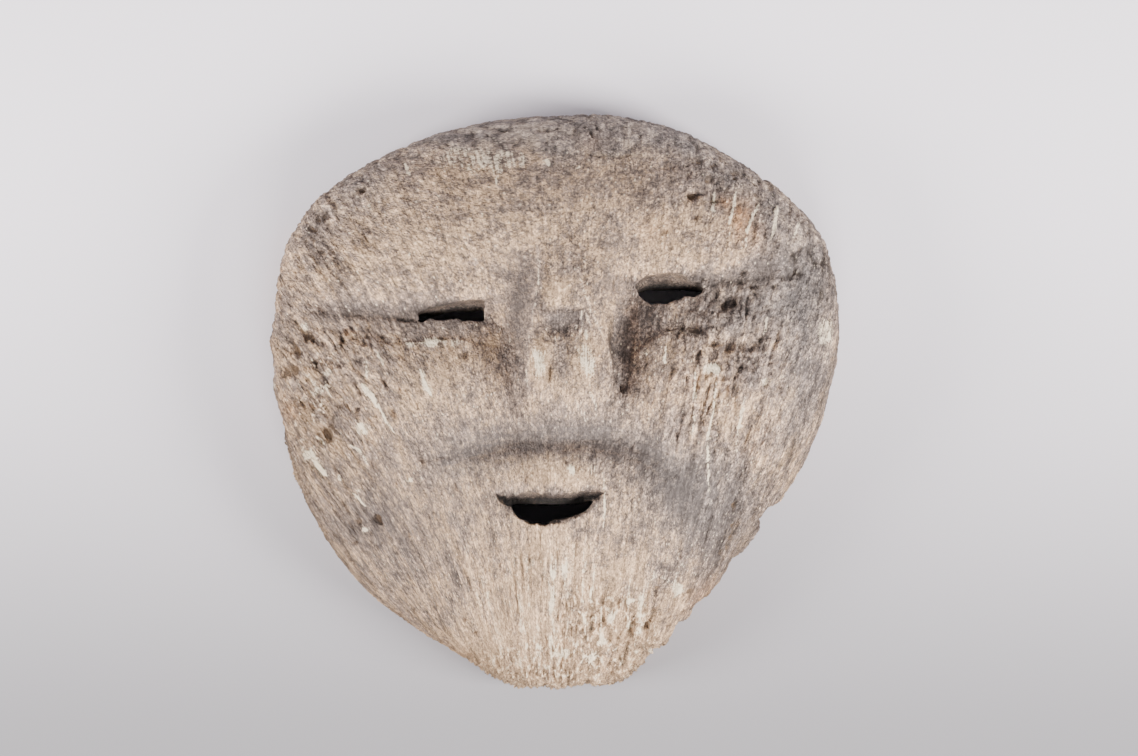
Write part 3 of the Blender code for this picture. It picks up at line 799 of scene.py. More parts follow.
    # Painted shade: dark patches inside the eye slits, in the hollow right of the nose, in the brow creases
    # and at the mouth's corners.
    painted_shade: tuple[Mound, ...] = (
        Mound((-38, 34.6), (13, 2.0), 0.3, power=1.6), Mound((43.5, 43.6), (12.0, 2.2), 0.3, power=1.6),
        Mound((23.4, 17), (2.2, 11), 0.12),
        Mound((-52, 31.6), (8, 1.6), 0.4), Mound((60, 40.5), (7, 2.6), 0.3),
        Mound((-19, -37.2), (2.8, 2.2), 0.5), Mound((15.6, -36.2), (2.2, 1.6), 0.5),
    )
    netted: tuple[Mound, ...] = (
        Mound((20, -85), (24, 15), 1.2, -30, 2.0), Mound((0, -99), (36, 11), 1.2, power=2.0),
        Mound((-92, -14), (9, 30), 0.8), Mound((-86, 8), (10, 18), 0.7),
        Mound((48, -62), (10, 12), 0.7, -38),
        Mound((56, 10), (22, 8), 0.5), Mound((-75, 58), (10, 16), 0.55), Mound((80, -2), (9, 30), 0.35),
    )
    clean: tuple[Mound, ...] = (
        Mound((-34, 60), (40, 20), 0.26), Mound((46, 62), (26, 17), 0.2), Mound((-36, 8), (17, 12), 0.22),
        Mound((1, -76), (34, 34), 0.42), Mound((-2, -26), (17, 6.5), 0.5), Mound((3, 2), (10, 7), 0.2),
        Mound((3, -98), (38, 14), 1.0), Mound((56, 4), (14, 16), 0.12), Mound((-58, -4), (12, 12), 0.12),
        Mound((-84, -8), (14, 26), 0.1),
    )
    dusty: tuple[Mound, ...] = (
        Mound((0, 104), (80, 10), 0.8, power=2.0), Mound((66, 84), (32, 10), 0.5, -38),
        Mound((-58, -42), (26, 18), 0.7),
        Mound((48, -34), (12, 20), 0.7), Mound((-13, 36), (7, 28), 0.9), Mound((-64, 29), (28, 5), 0.6),
        Mound((76, 36), (24, 9), 0.6), Mound((90, 56), (10, 20), 0.5), Mound((22, 40), (8, 18), 0.5),
        Mound((12, 79), (22, 6), 0.5), Mound((-84, -2), (12, 22), 0.4), Mound((-72, 88), (24, 8), 0.5, 38),
    )
    greyed: tuple[Mound, ...] = (
        Mound((0, 105), (86, 14), 0.9, power=2.0), Mound((72, 80), (34, 14), 0.6, -38),
        Mound((-74, 80), (30, 12), 0.4, 38),
        Mound((74, 34), (26, 10), 0.5), Mound((94, 46), (12, 24), 0.5), Mound((90, 6), (12, 24), 0.3),
        Mound((54, -36), (18, 20), 0.4),
    )
    ribbed: tuple[Mound, ...] = (
        Mound((4, -74), (34, 26), 1.0, power=2.0), Mound((60, -44), (14, 18), 0.4, -35),
        Mound((62, -4), (22, 26), 0.15),
        Mound((-20, -70), (12, 16), 0.4),
    )
    rolled_edges: tuple[tuple[Stroke, float, float], ...] = (
        (Stroke(((-21, -35), (-17.5, -37.6), (-12, -38), (-6, -37.4), (0, -37.6), (7, -37.2), (12, -36.2),
                 (17.8, -34.6))), 5.5, 2.0),
        (Stroke(((-53, 32.8), (-44, 34.2), (-36, 35.4), (-30, 35.9), (-24.6, 35.8))), 1.8, 0.5),
        (Stroke(((28.6, 40.6), (32.6, 43.2), (38, 44.4), (46, 45.0), (52, 45.2), (57, 43.2))), 2.2, 0.7),
    )
    # Where the walls of the cuts get painted shade, darker the deeper they go.
    slit_shade: tuple[Mound, ...] = (
        Mound((-38, 31.5), (17, 7), 0.8, power=6.0), Mound((42.5, 40.5), (16.5, 8), 1.2, power=6.0),
        Mound((-1, -40), (20, 7), 1.6, power=6.0),
    )
    crumbly: tuple[Mound, ...] = (
        Mound((0, 103), (72, 11), 0.6), Mound((-72, 84), (26, 11), 0.5, 38),
        Mound((66, 80), (26, 12), 0.7, -38),
        Mound((94, 50), (12, 24), 0.7), Mound((63, 35), (20, 9), 1.0), Mound((84, 44), (14, 9), 0.8),
        Mound((-74, 25), (27, 7), 0.8), Mound((-99, 34), (9, 30), 0.8), Mound((-86, -6), (13, 34), 0.5),
        Mound((46, 26), (13, 4), 0.6),
        Mound((3, 27), (10, 5), 0.6), Mound((60, -98), (30, 24), 0.5), Mound((34, -96), (18, 12), 0.6),
    )
    cavernous: tuple[Mound, ...] = (
        Mound((-88, 8), (14, 28), 0.75), Mound((-68, -6), (13, 16), 0.5), Mound((-82, 23), (20, 7), 0.7),
        Mound((64, 18), (18, 9), 0.6), Mound((56, 78), (12, 9), 0.7), Mound((68, -46), (9, 14), 0.7, -35),
        Mound((34, -82), (16, 10), 0.5), Mound((-88, 60), (10, 14), 0.5), Mound((84, 8), (12, 22), 0.35),
        Mound((-72, -46), (10, 6), 0.6), Mound((-56, -88), (26, 7), 0.4, -38),
    )
    fibrous: tuple[Mound, ...] = (
        Mound((60, -4), (24, 34), 1.0), Mound((88, 4), (16, 44), 1.0), Mound((0, -76), (46, 36), 0.75),
        Mound((68, -42), (20, 26), 1.0), Mound((-60, -54), (32, 30), 0.55), Mound((-84, -6), (20, 44), 0.8),
        Mound((-84, 62), (16, 22), 0.7), Mound((76, 64), (16, 16), 0.6), Mound((0, -26), (20, 8), 0.4),
    )
    plated: tuple[Mound, ...] = (
        Mound((56, 0), (22, 26), 1.0), Mound((72, -32), (20, 22), 0.9), Mound((-76, -10), (18, 24), 0.8),
        Mound((30, -86), (24, 14), 0.7), Mound((72, 30), (20, 12), 0.6), Mound((-70, 74), (24, 12), 0.4),
        Mound((-44, -88), (30, 10), 0.7, -35),
    )

    def tract(self, mounds: tuple[Mound, ...], x: np.ndarray, y: np.ndarray) -> np.ndarray:
        """Map how far one kind of weathering has gone.

        Args:
            mounds: where that weathering lies.
            x: places to the right.
            y: places towards the crown.

        Returns:
            Its share at each place, from 0 to 1.
        """
        return np.clip(sum(mound.rise(x, y) for mound in mounds), 0, 1)

    def worn_wood(self, x: np.ndarray, y: np.ndarray, z: np.ndarray, across: np.ndarray,
                  along: np.ndarray) -> dict[str, np.ndarray]:
        """Work out the crumbs, splinters, plates and pits of the open wood.

        Args:
            x: places to the right.
            y: places towards the crown.
            z: heights over the rim plane.
            across: places across the fibres.
            along: places along the fibres.

        Returns:
            By name, the change in height, the depth of the holes, and how rough, fibrous,
            crumbly, ribbed and netted each place is.
        """
        edge = step(0.9, 0.99, self.form.share_of_outline(x, y))
        crumbly = np.clip(self.tract(self.crumbly, x, y) + 0.2 * edge, 0, 1)
        cavernous = self.tract(self.cavernous, x, y)
        fibrous = np.clip(self.tract(self.fibrous, x, y) + 0.25 * edge, 0, 1)
        plated = self.tract(self.plated, x, y)
        rough = np.clip(crumbly + 0.8 * cavernous + 0.4 * fibrous + 0.4 * plated, 0, 1)
        bend = 1.3 * Noise(61).layered(x / 6, y / 6, z / 6, layers=2)
        sway = 1.3 * Noise(67).layered(x / 6, y / 6, z / 6, layers=2)
        across, along = across + bend * (0.3 + 0.7 * rough), along + 2 * sway
        uneven = 0.75 + 0.6 * Noise(63).layered(across / 9, along / 12, layers=2)
        lumps, seams = Noise(5).crumbs(across, along, (4.6, 6.2))
        grit, grit_seams = Noise(7).crumbs(across, along, (2.0, 2.6))
        splinters, splits = Noise(9).crumbs(across, along, (2.7, 24.0))
        threads = 1 - 2 * np.abs(Noise(11).layered(across / 1.25, along / 15, layers=2))
        tall = 2.8 * Noise(21).layered(across / 9, along / 24, layers=3)
        plates = np.floor(tall) + step(0.8, 1.0, tall - np.floor(tall)) - tall
        ribs = Noise(27).layered(across / 3.3, along / 55, layers=2, gain=0.6)
        relief = crumbly * uneven * (1.9 * (lumps - 0.72) - 0.4 * seams)
        relief += (0.12 + 0.42 * rough) * (grit - 0.75) - 0.2 * rough * grit_seams
        relief += (0.12 + 0.9 * fibrous) * uneven * (1.35 * (splinters - 0.72) - 0.35 * splits)
        relief += (0.06 + 0.25 * fibrous) * threads + 1.35 * plated * (plates + 0.5) + 0.9 * fibrous * ribs
        torn_across = across + 0.9 * Noise(93).layered(across / 1.9, along / 2.8, layers=2)
        torn_along = along + 1.4 * Noise(95).layered(across / 1.9, along / 2.8, layers=2)
        _, walls = Noise(33).crumbs(torn_across, torn_along, (4.6, 8.0))
        netted = self.tract(self.netted, x, y)
        relief += netted * (1.0 * walls - 0.3)
        caverns = Noise(15).dots(torn_across, torn_along, (7.0, 9.5), (2.3, 3.4), 0.6 * cavernous)
        big = Noise(17).dots(torn_across, torn_along, (5.0, 7.0), (1.2, 2.1), 0.05 + 0.45 * rough)
        small = Noise(19).dots(across, along, (2.7, 3.7), (0.7, 1.1), 0.12 + 0.35 * rough)
        slots = Noise(25).dots(torn_across, along, (4.2, 17.0), (0.55, 4.0), 0.5 * fibrous)
        holes = 1.5 * caverns + 0.9 * big + 0.4 * small + 0.9 * slots
        return {"relief": relief, "holes": holes, "rough": rough, "fibrous": fibrous,
                "crumbly": crumbly, "ribs": ribs, "net": netted * walls}

    def arc_strands(self, x: np.ndarray, y: np.ndarray) -> tuple[np.ndarray, np.ndarray]:
        """Lay the fine strands that follow the groove over the mouth.

        Args:
            x: places to the right.
            y: places towards the crown.

        Returns:
            The strands' rise and fall, and how far each place belongs to the groove.
        """
        signed, travel = self.form.lip_groove.distance(x, y)
        band = np.exp(-((signed + 1.5) / 7.5) ** 2) * step(0.0, 0.15, travel) * step(1.0, 0.7, travel)
        strands = Noise(45).layered((signed + 40.5) / 1.1, 14 * travel + 0.5, layers=3)
        return band * strands, 0.8 * band

    def edge_share(self, edge: Stroke, x: np.ndarray, y: np.ndarray, reach: float) -> np.ndarray:
        """Tell how far each place belongs to a slit's rolled upper edge, which fades upwards."""
        signed, travel = edge.distance(x, y)
        taper = 0.2 + 0.8 * np.sqrt(np.clip(4 * travel * (1 - travel), 0, 1))
        return np.exp(-(signed / (np.where(signed > 0, reach, 0.8) * taper)) ** 2)

    def face_relief(self, at: np.ndarray) -> dict[str, np.ndarray]:
        """Work out the weathered relief of the face and its colouring, painted light and shade included.

        Args:
            at: the places, three numbers each.

        Returns:
            The change in height, the shares that the finish reads, and the fibre places, by name.
        """
        x, y, z = at.T
        across, along = self.grain.lay(self.form, at)
        worn = self.worn_wood(x, y, z, across, along)
        jog_x = x + 0.9 * Noise(71).layered(x / 2.4, y / 2.4, z / 2.4, layers=2)
        jog_y = y + 0.9 * Noise(73).layered(x / 2.4, y / 2.4, z / 2.4, layers=2)
        near_x, near_y = (x + jog_x) / 2, (y + jog_y) / 2
        slow = 0.8 * Noise(3).layered(x / 21, y / 26, z / 24, layers=2)
        pits = np.zeros(x.shape)
        for place, reach in self.pits:
            deep = 0.7 * min(reach) + 0.45
            pits = np.maximum(pits, Mound(place, reach, deep, power=1.4).rise(jog_x, jog_y))
        cracks = np.clip(sum(crack.mark(jog_x, jog_y, 0.55) for crack in self.cracks), 0, 1)
        ledges = sum(ledge.drop(jog_x, jog_y) for ledge in self.ledges)
        torn = Noise(23).layered(across / 1.0, along / 2.6, layers=3)
        pale = np.zeros(x.shape)
        for stroke, width in self.streaks:
            pale = np.maximum(pale, stroke.mark(near_x, y, 0.85 * width))
        pale = pale * (1.2 + 1.1 * torn)
        broken = Noise(97).layered(jog_x / 1.5, jog_y / 1.9, layers=3)
        for place, reach, strength in self.patches:
            patch = Mound(place, reach, strength, power=1.5).rise(jog_x, jog_y)
            pale = np.maximum(pale, patch * (1.1 + 0.9 * broken))
        flecks = Noise(29).dots(across, along, (4.2, 8.0), (0.5, 2.6), 0.06 + 0.4 * worn["rough"])
        pale = pale + 0.5 * flecks * step(-0.3, 0.3, torn)
        pale = pale + worn["net"] * (0.6 + 0.5 * torn)
        ribbed = self.tract(self.ribbed, x, y) * step(0.0, 0.3, worn["ribs"])
        pale = np.clip(pale + ribbed * (0.42 + 0.6 * torn), 0, 1)
        # Painted highlights along the ridges and painted shade along the creases.
        drawn = sum(lift * edge.mark(near_x, near_y, width) for edge, width, lift in self.edges)
        pale = np.clip(pale + 0.9 * np.clip(drawn, 0, None), 0, 1)
        strands, arc = self.arc_strands(near_x, near_y)
        dust = np.clip(self.tract(self.dusty, jog_x, jog_y) + arc, 0, 1)
        rolled = sum(deep * self.edge_share(edge, jog_x, jog_y, reach)
                     for edge, reach, deep in self.rolled_edges)
        # Relief of the worn wood; in colour its crests become painted highlights and its hollows painted
        # shade.
        wear_and_shade = (worn["relief"] * (1 - 0.5 * dust * (1 - worn["crumbly"])) + 0.2 * pale + drawn
                + 0.35 * strands)
        holes = worn["holes"] + pits + 0.8 * cracks
        blur_x = x + 5 * Noise(81).layered(x / 13, y / 13, z / 13, layers=3)
        blur_y = y + 5 * Noise(83).layered(x / 13, y / 13, z / 13, layers=3)
        # Dirt and staining, plus painted shade in the valleys beside the nose, the groove over the mouth,
        # the brow creases and along the rolled lips.
        grime_and_shade = self.base_grime + sum(stain.rise(blur_x, blur_y) for stain in self.stains_and_shade)
        grime_and_shade = grime_and_shade - sum(spot.rise(blur_x, blur_y) for spot in self.clean)
        # Painted shade and dirt down the valley left of the nose.
        signed, travel = self.nose_valley.distance(near_x, near_y)
        ends = step(0.0, 0.12, travel) * step(1.0, 0.8, travel)
        grime_and_shade = grime_and_shade + (0.24 + 0.1 * step(0.5, 0.3, travel)) * ends * step(5.8, 3.8, np.abs(signed))
        grime_and_shade = grime_and_shade + sum(tone.rise(near_x, near_y) for tone in self.nose_tones_and_shade)
        grime_and_shade = grime_and_shade + self.groove_shade_and_dirt(jog_x, jog_y) + 0.55 * strands
        # Painted shade on the lips that roll into the slits.
        grime_and_shade = grime_and_shade + 0.3 * rolled
        grime_and_shade = grime_and_shade + 0.3 * Noise(37).layered(x / 9, y / 9, z / 9, layers=4, gain=0.65)
        grime_and_shade = grime_and_shade + 0.22 * worn["fibrous"] * Noise(39).layered(across / 6.5, along / 60, layers=2)
        bare = sum(mark.rise(jog_x, jog_y) for mark in self.bare_wood) * (0.8 + 0.6 * torn)
        # Painted shade in the slits, creases and hollows, and along the lips that roll into the slits,
        # darkest at their edge.
        painted_shade = sum(mark.rise(jog_x, jog_y) for mark in self.painted_shade) * (0.9 + 0.3 * torn)
        for edge, reach, deep in self.rolled_edges:
            painted_shade = painted_shade + (0.5 + 0.25 * torn) * deep * self.edge_share(edge, jog_x, jog_y, 0.55 * reach)
        return {
            "relief": slow + wear_and_shade - holes - ledges + self.valley_fill.rise(x, y) - rolled,
            "dust": dust, "painted_shade": painted_shade,
            "greyed": np.clip(self.tract(self.greyed, blur_x, blur_y) + 0.5 * arc, 0, 1),
            # Painted light and shade: crests and raised lines lighter, hollows, holes and creases darker.
            "wear_and_shade": np.clip(0.8 * wear_and_shade + 0.25 * drawn - 0.2 * holes, -1, 1),
            "grime_and_shade": np.clip(grime_and_shade, 0, 1), "pale": pale, "bare": np.clip(bare, 0, 1),
            "across": across, "along": along,
        }

    def groove_shade_and_dirt(self, x: np.ndarray, y: np.ndarray) -> np.ndarray:
        """Darken the groove over the mouth, the creases of the brows and the scoop over the lower lip:
        painted shade in these recesses, with some dirt.
        """
        signed, travel = self.form.lip_groove.distance(x, y)
        dirt = 0.56 * step(0.0, 0.2, travel) * (1 - 0.7 * step(0.62, 1.0, travel))
        dirt = dirt * np.exp(-((signed - 0.6 + 5 * np.abs(travel - 0.42)) / 7.0) ** 2)
        signed, _ = self.form.left_brow.distance(x, y)
        reach = step(-90, -78, x) * (1 - step(-30, -20, x))
        dirt = dirt + 0.55 * reach * np.exp(-((signed - 1.5) / 3.2) ** 2)
        signed, _ = self.form.right_brow.distance(x, y)
        reach = step(24, 32, x) * (1 - 0.7 * step(70, 96, x))
        dirt = dirt + 0.55 * reach * np.exp(-((signed - 2.0) / 3.6) ** 2)
        signed, travel = self.form.lower_lip.distance(x, y)
        ends = step(0.0, 0.2, travel) * step(1.0, 0.8, travel)
        return dirt + 0.5 * ends * step(8.5, 4.5, signed) * step(-1.5, 0.5, signed)

    def back_relief(self, at: np.ndarray) -> np.ndarray:
        """Work out the relief of the hollow: broad gouge cuts and dry fibres.

        Args:
            at: the places, three numbers each.

        Returns:
            The change in height at each place.
        """
        x, y, z = at.T
        across = np.arctan2(x, 60 - z) * 70
        scoops = Noise(41).dots(across, y, (11.0, 24.0), (9.0, 19.0), np.full(x.shape, 2.0))
        fibres = 1 - 2 * np.abs(Noise(43).layered(across / 2.4, y / 30, layers=2))
        return -0.7 * scoops + 0.25 * fibres + 0.3 * Noise(47).layered(x / 6, y / 9, z / 6, layers=2)


@dataclass(frozen=True)
class NodeSheet:
    """A material's node sheet, with short ways to add what the finishes use."""

    tree: bpy.types.NodeTree

    def add(self, kind: str, **values: object) -> bpy.types.Node:
        """Add a node and set its properties."""
        node = self.tree.nodes.new(kind)
        for name, value in values.items():
            setattr(node, name, value)
        return node

    def join(self, source: object, target: bpy.types.NodeSocket) -> None:
        """Feed a socket from another one, or set it to a plain value."""
        if isinstance(source, bpy.types.NodeSocket):
            self.tree.links.new(source, target)
        else:
            target.default_value = source

    def share(self, name: str) -> bpy.types.NodeSocket:
        """Read one of the mesh's own attributes."""
        return self.add("ShaderNodeAttribute", attribute_type="GEOMETRY",
                        attribute_name=name).outputs["Fac"]

    def sum(self, kind: str, first: object, second: object, clamp: bool = False) -> bpy.types.NodeSocket:
        """Work out one step of arithmetic on two values."""
        node = self.add("ShaderNodeMath", operation=kind, use_clamp=clamp)
        self.join(first, node.inputs[0])
        self.join(second, node.inputs[1])
        return node.outputs[0]

    def spread(self, source: object, low: float, high: float, start: float = 0.0,
               end: float = 1.0) -> bpy.types.NodeSocket:
        """Stretch the values between low and high to run from start to end."""
        node = self.add("ShaderNodeMapRange", interpolation_type="SMOOTHSTEP")
        for socket, value in zip(node.inputs, (source, low, high, start, end)):
            self.join(value, socket)
        return node.outputs[0]

    def blend(self, share: object, first: object, second: object, how: str = "MIX") -> bpy.types.NodeSocket:
        """Mix two colours."""
        node = self.add("ShaderNodeMix", data_type="RGBA", blend_type=how)
        self.join(share, node.inputs["Factor"])
        self.join(first, node.inputs[6])
        self.join(second, node.inputs[7])
        return node.outputs[2]

    def fibre_place(self, across: float, along: float) -> bpy.types.NodeSocket:
        """Give a place on the wood, counted in fibre widths and lengths of these millimetres."""
        grain = self.add("ShaderNodeAttribute", attribute_type="GEOMETRY", attribute_name="grain")
        node = self.add("ShaderNodeVectorMath", operation="MULTIPLY")
        self.join(grain.outputs["Vector"], node.inputs[0])
        node.inputs[1].default_value = (1 / across, 1 / along, 1 / across)
        return node.outputs[0]

    def noise(self, place: bpy.types.NodeSocket, detail: float = 2.0, rough: float = 0.55,
              twist: float = 0.0) -> bpy.types.NodeSocket:
        """Add noise whose coarsest clouds are one unit of the place wide."""
        node = self.add("ShaderNodeTexNoise", noise_dimensions="3D")
        self.join(place, node.inputs["Vector"])
        node.inputs["Scale"].default_value = 1.0
        node.inputs["Detail"].default_value = detail
        node.inputs["Roughness"].default_value = rough
        node.inputs["Distortion"].default_value = twist
        return node.outputs["Fac"]

    def grains(self, place: bpy.types.NodeSocket) -> tuple[bpy.types.NodeSocket, ...]:
        """Fill the surface with grains one unit of the place wide.

        Returns:
            Two random values of each grain, and the distance from its middle.
        """
        node = self.add("ShaderNodeTexVoronoi", feature="F1")
        self.join(place, node.inputs["Vector"])
        node.inputs["Scale"].default_value = 1.0
        apart = self.add("ShaderNodeSeparateColor")
        self.join(node.outputs["Color"], apart.inputs[0])
        return apart.outputs[0], apart.outputs[1], node.outputs["Distance"]

    def shade(self, colour: object, source: bpy.types.NodeSocket, low: float, high: float,
              start: float, end: float) -> bpy.types.NodeSocket:
        """Darken or lighten a colour by values that are stretched from start to end."""
        value = self.spread(source, low, high, start, end)
        node = self.add("ShaderNodeCombineColor")
        for socket in node.inputs[:3]:
            self.join(value, socket)
        return self.blend(1.0, colour, node.outputs[0], "MULTIPLY")


@dataclass(frozen=True)
class WeatheredWood:
    """Dry wood: grey and tan grains, pale torn fibres, dark pores and orange bare spots, with painted shade
    in cuts and hollows and painted light on crumbs and ridges.
    """

    name: str = "weathered_wood"
    light: Colour = (0.40, 0.262, 0.158, 1.0)
    middle: Colour = (0.222, 0.156, 0.118, 1.0)
    dark: Colour = (0.105, 0.081, 0.070, 1.0)
    # Near black of the pores, also used as painted shade in the deepest hollows.
    pore_and_shade: Colour = (0.040, 0.030, 0.024, 1.0)
    pale: Colour = (0.86, 0.70, 0.50, 1.0)
    bare: Colour = (0.33, 0.15, 0.05, 1.0)
    inside: Colour = (0.17, 0.105, 0.062, 1.0)
    # Near black colour of the painted shade in and around the slits.
    painted_shade: Colour = (0.010, 0.008, 0.007, 1.0)
    roughness: tuple[float, float] = (0.82, 0.97)
    specular: float = 0.2
    bump_height: float = 0.65
    faded: float = 0.6

    def colour(self, sheet: NodeSheet, parts: dict[str, bpy.types.NodeSocket]) -> bpy.types.NodeSocket:
        """Colour the wood by its dirt, its worn places and its grains, with painted shade in the cuts,
        creases and hollows and painted light on the crumbs and ridges.
        """
        grime_and_shade = sheet.sum("ADD", sheet.share("grime_and_shade"), sheet.spread(parts["cloud"], 0.3, 0.7, -0.2, 0.2))
        grime_and_shade = sheet.sum("ADD", grime_and_shade, sheet.spread(parts["hue"], 0.0, 1.0, -0.16, 0.16))
        grime_and_shade = sheet.sum("ADD", grime_and_shade, sheet.spread(parts["mottle"], 0.3, 0.7, 0.2, -0.2))
        grime_and_shade = sheet.sum("ADD", grime_and_shade, sheet.spread(parts["speck"], 0.3, 0.7, 0.16, -0.16), clamp=True)
        colour = sheet.blend(sheet.spread(grime_and_shade, 0.05, 0.5), self.light, self.middle)
        colour = sheet.blend(sheet.spread(grime_and_shade, 0.4, 1.0, 0.0, 0.92), colour, self.dark)
        bare = sheet.sum("MULTIPLY", sheet.share("bare"), sheet.spread(parts["speck"], 0.3, 0.6, 0.5, 1.0))
        colour = sheet.blend(bare, colour, self.bare)
        plain = colour
        colour = sheet.shade(colour, parts["tone"], 0.0, 1.0, 0.82, 1.3)
        colour = sheet.shade(colour, parts["speck"], 0.32, 0.68, 0.68, 1.34)
        colour = sheet.shade(colour, parts["mottle"], 0.3, 0.7, 0.86, 1.16)
        # Painted light: each grain is lighter in its middle and darker towards its seams, like lit crumbs.
        colour = sheet.shade(colour, parts["far"], 0.15, 0.62, 1.34, 0.94)
        colour = sheet.shade(colour, parts["fibre"], 0.32, 0.68, 0.82, 1.18)
        colour = sheet.shade(colour, parts["thread"], 0.3, 0.7, 0.8, 1.2)
        colour = sheet.blend(sheet.sum("MULTIPLY", parts["pores"], 0.45), colour, self.pore_and_shade)
        colour = sheet.blend(sheet.sum("MULTIPLY", sheet.share("dust"), 0.55), colour, plain)
        # Painted light and shade from the relief: crests and raised lines lighter, hollows and creases
        # darker.
        colour = sheet.shade(colour, sheet.share("wear_and_shade"), -0.6, 0.7, 0.64, 1.32)
        faded = sheet.add("ShaderNodeHueSaturation")
        faded.inputs["Saturation"].default_value = self.faded
        sheet.join(sheet.share("greyed"), faded.inputs["Fac"])
        sheet.join(colour, faded.inputs["Color"])
        colour = faded.outputs["Color"]
        torn = sheet.sum("ADD", sheet.share("pale"), sheet.spread(parts["thread"], 0.3, 0.7, -0.2, 0.2))
        torn = sheet.sum("ADD", torn, sheet.spread(parts["speck"], 0.3, 0.7, -0.2, 0.2))
        torn = sheet.spread(torn, 0.34, 0.8, 0.0, 0.9)
        flakes = sheet.sum("MULTIPLY", parts["flakes"],
                           sheet.spread(sheet.share("dust"), 0.0, 1.0, 0.8, 0.1))
        colour = sheet.blend(sheet.sum("MAXIMUM", torn, flakes), colour, self.pale)
        # Painted shade: the deepest hollows, pits and cracks turn near black.
        colour = sheet.blend(sheet.spread(sheet.share("wear_and_shade"), -0.4, -1.0, 0.0, 0.9), colour, self.pore_and_shade)
        colour = sheet.blend(sheet.sum("MULTIPLY", sheet.share("inside"), 0.75), colour, self.inside)
        # Painted shade: the slits, the hollow beside the nose, the brow creases and the rolled lips turn
        # near black.
        return sheet.blend(sheet.sum("MULTIPLY", sheet.share("painted_shade"), 0.97), colour, self.painted_shade)

    def build(self) -> bpy.types.Material:
        """Make the material.

        Returns:
            The finished node material.
        """
        material = bpy.data.materials.new(self.name)
        material.use_nodes = True
        sheet = NodeSheet(material.node_tree)
        shader = material.node_tree.nodes["Principled BSDF"]
        tone, hue, _ = sheet.grains(sheet.fibre_place(0.5, 0.62))
        chance, size, far = sheet.grains(sheet.fibre_place(1.5, 2.1))
        parts = {
            "tone": tone, "hue": hue, "far": far,
            "speck": sheet.noise(sheet.fibre_place(1.15, 1.5), 2.0, 0.6, 1.4),
            "fibre": sheet.noise(sheet.fibre_place(2.2, 34.0), 3.0, 0.62),
            "thread": sheet.noise(sheet.fibre_place(0.6, 8.0), 2.0, 0.6),
            "mottle": sheet.noise(sheet.fibre_place(3.6, 5.0), 3.0, 0.62, 0.6),
            "cloud": sheet.noise(sheet.fibre_place(15.0, 19.0), 4.0, 0.65),
            "pores": sheet.sum("MULTIPLY", sheet.spread(far, 0.1, 0.26, 1.0, 0.0),
                               sheet.spread(chance, 0.7, 0.78)),
            "flakes": sheet.sum("MULTIPLY", sheet.spread(far, 0.12, 0.24, 0.75, 0.0),
                                sheet.spread(chance, 0.32, 0.22)),
        }
        sheet.join(self.colour(sheet, parts), shader.inputs["Base Color"])
        low, high = self.roughness
        sheet.join(sheet.spread(parts["speck"], 0.3, 0.7, high, low), shader.inputs["Roughness"])
        shader.inputs["Specular IOR Level"].default_value = self.specular
        height = sheet.sum("MULTIPLY", parts["speck"], 1.1)
        height = sheet.sum("ADD", height, sheet.sum("MULTIPLY", tone, 0.16))
        height = sheet.sum("ADD", height, sheet.sum("MULTIPLY", parts["thread"], 0.6))
        height = sheet.sum("ADD", height, sheet.sum("MULTIPLY", parts["pores"], -0.6))
        height = sheet.sum("ADD", height, sheet.sum("MULTIPLY", far, -0.9))
        bump = sheet.add("ShaderNodeBump")
        bump.inputs["Strength"].default_value = 1.0
        bump.inputs["Distance"].default_value = self.bump_height * MM
        sheet.join(height, bump.inputs["Height"])
        sheet.join(bump.outputs["Normal"], shader.inputs["Normal"])
        return material


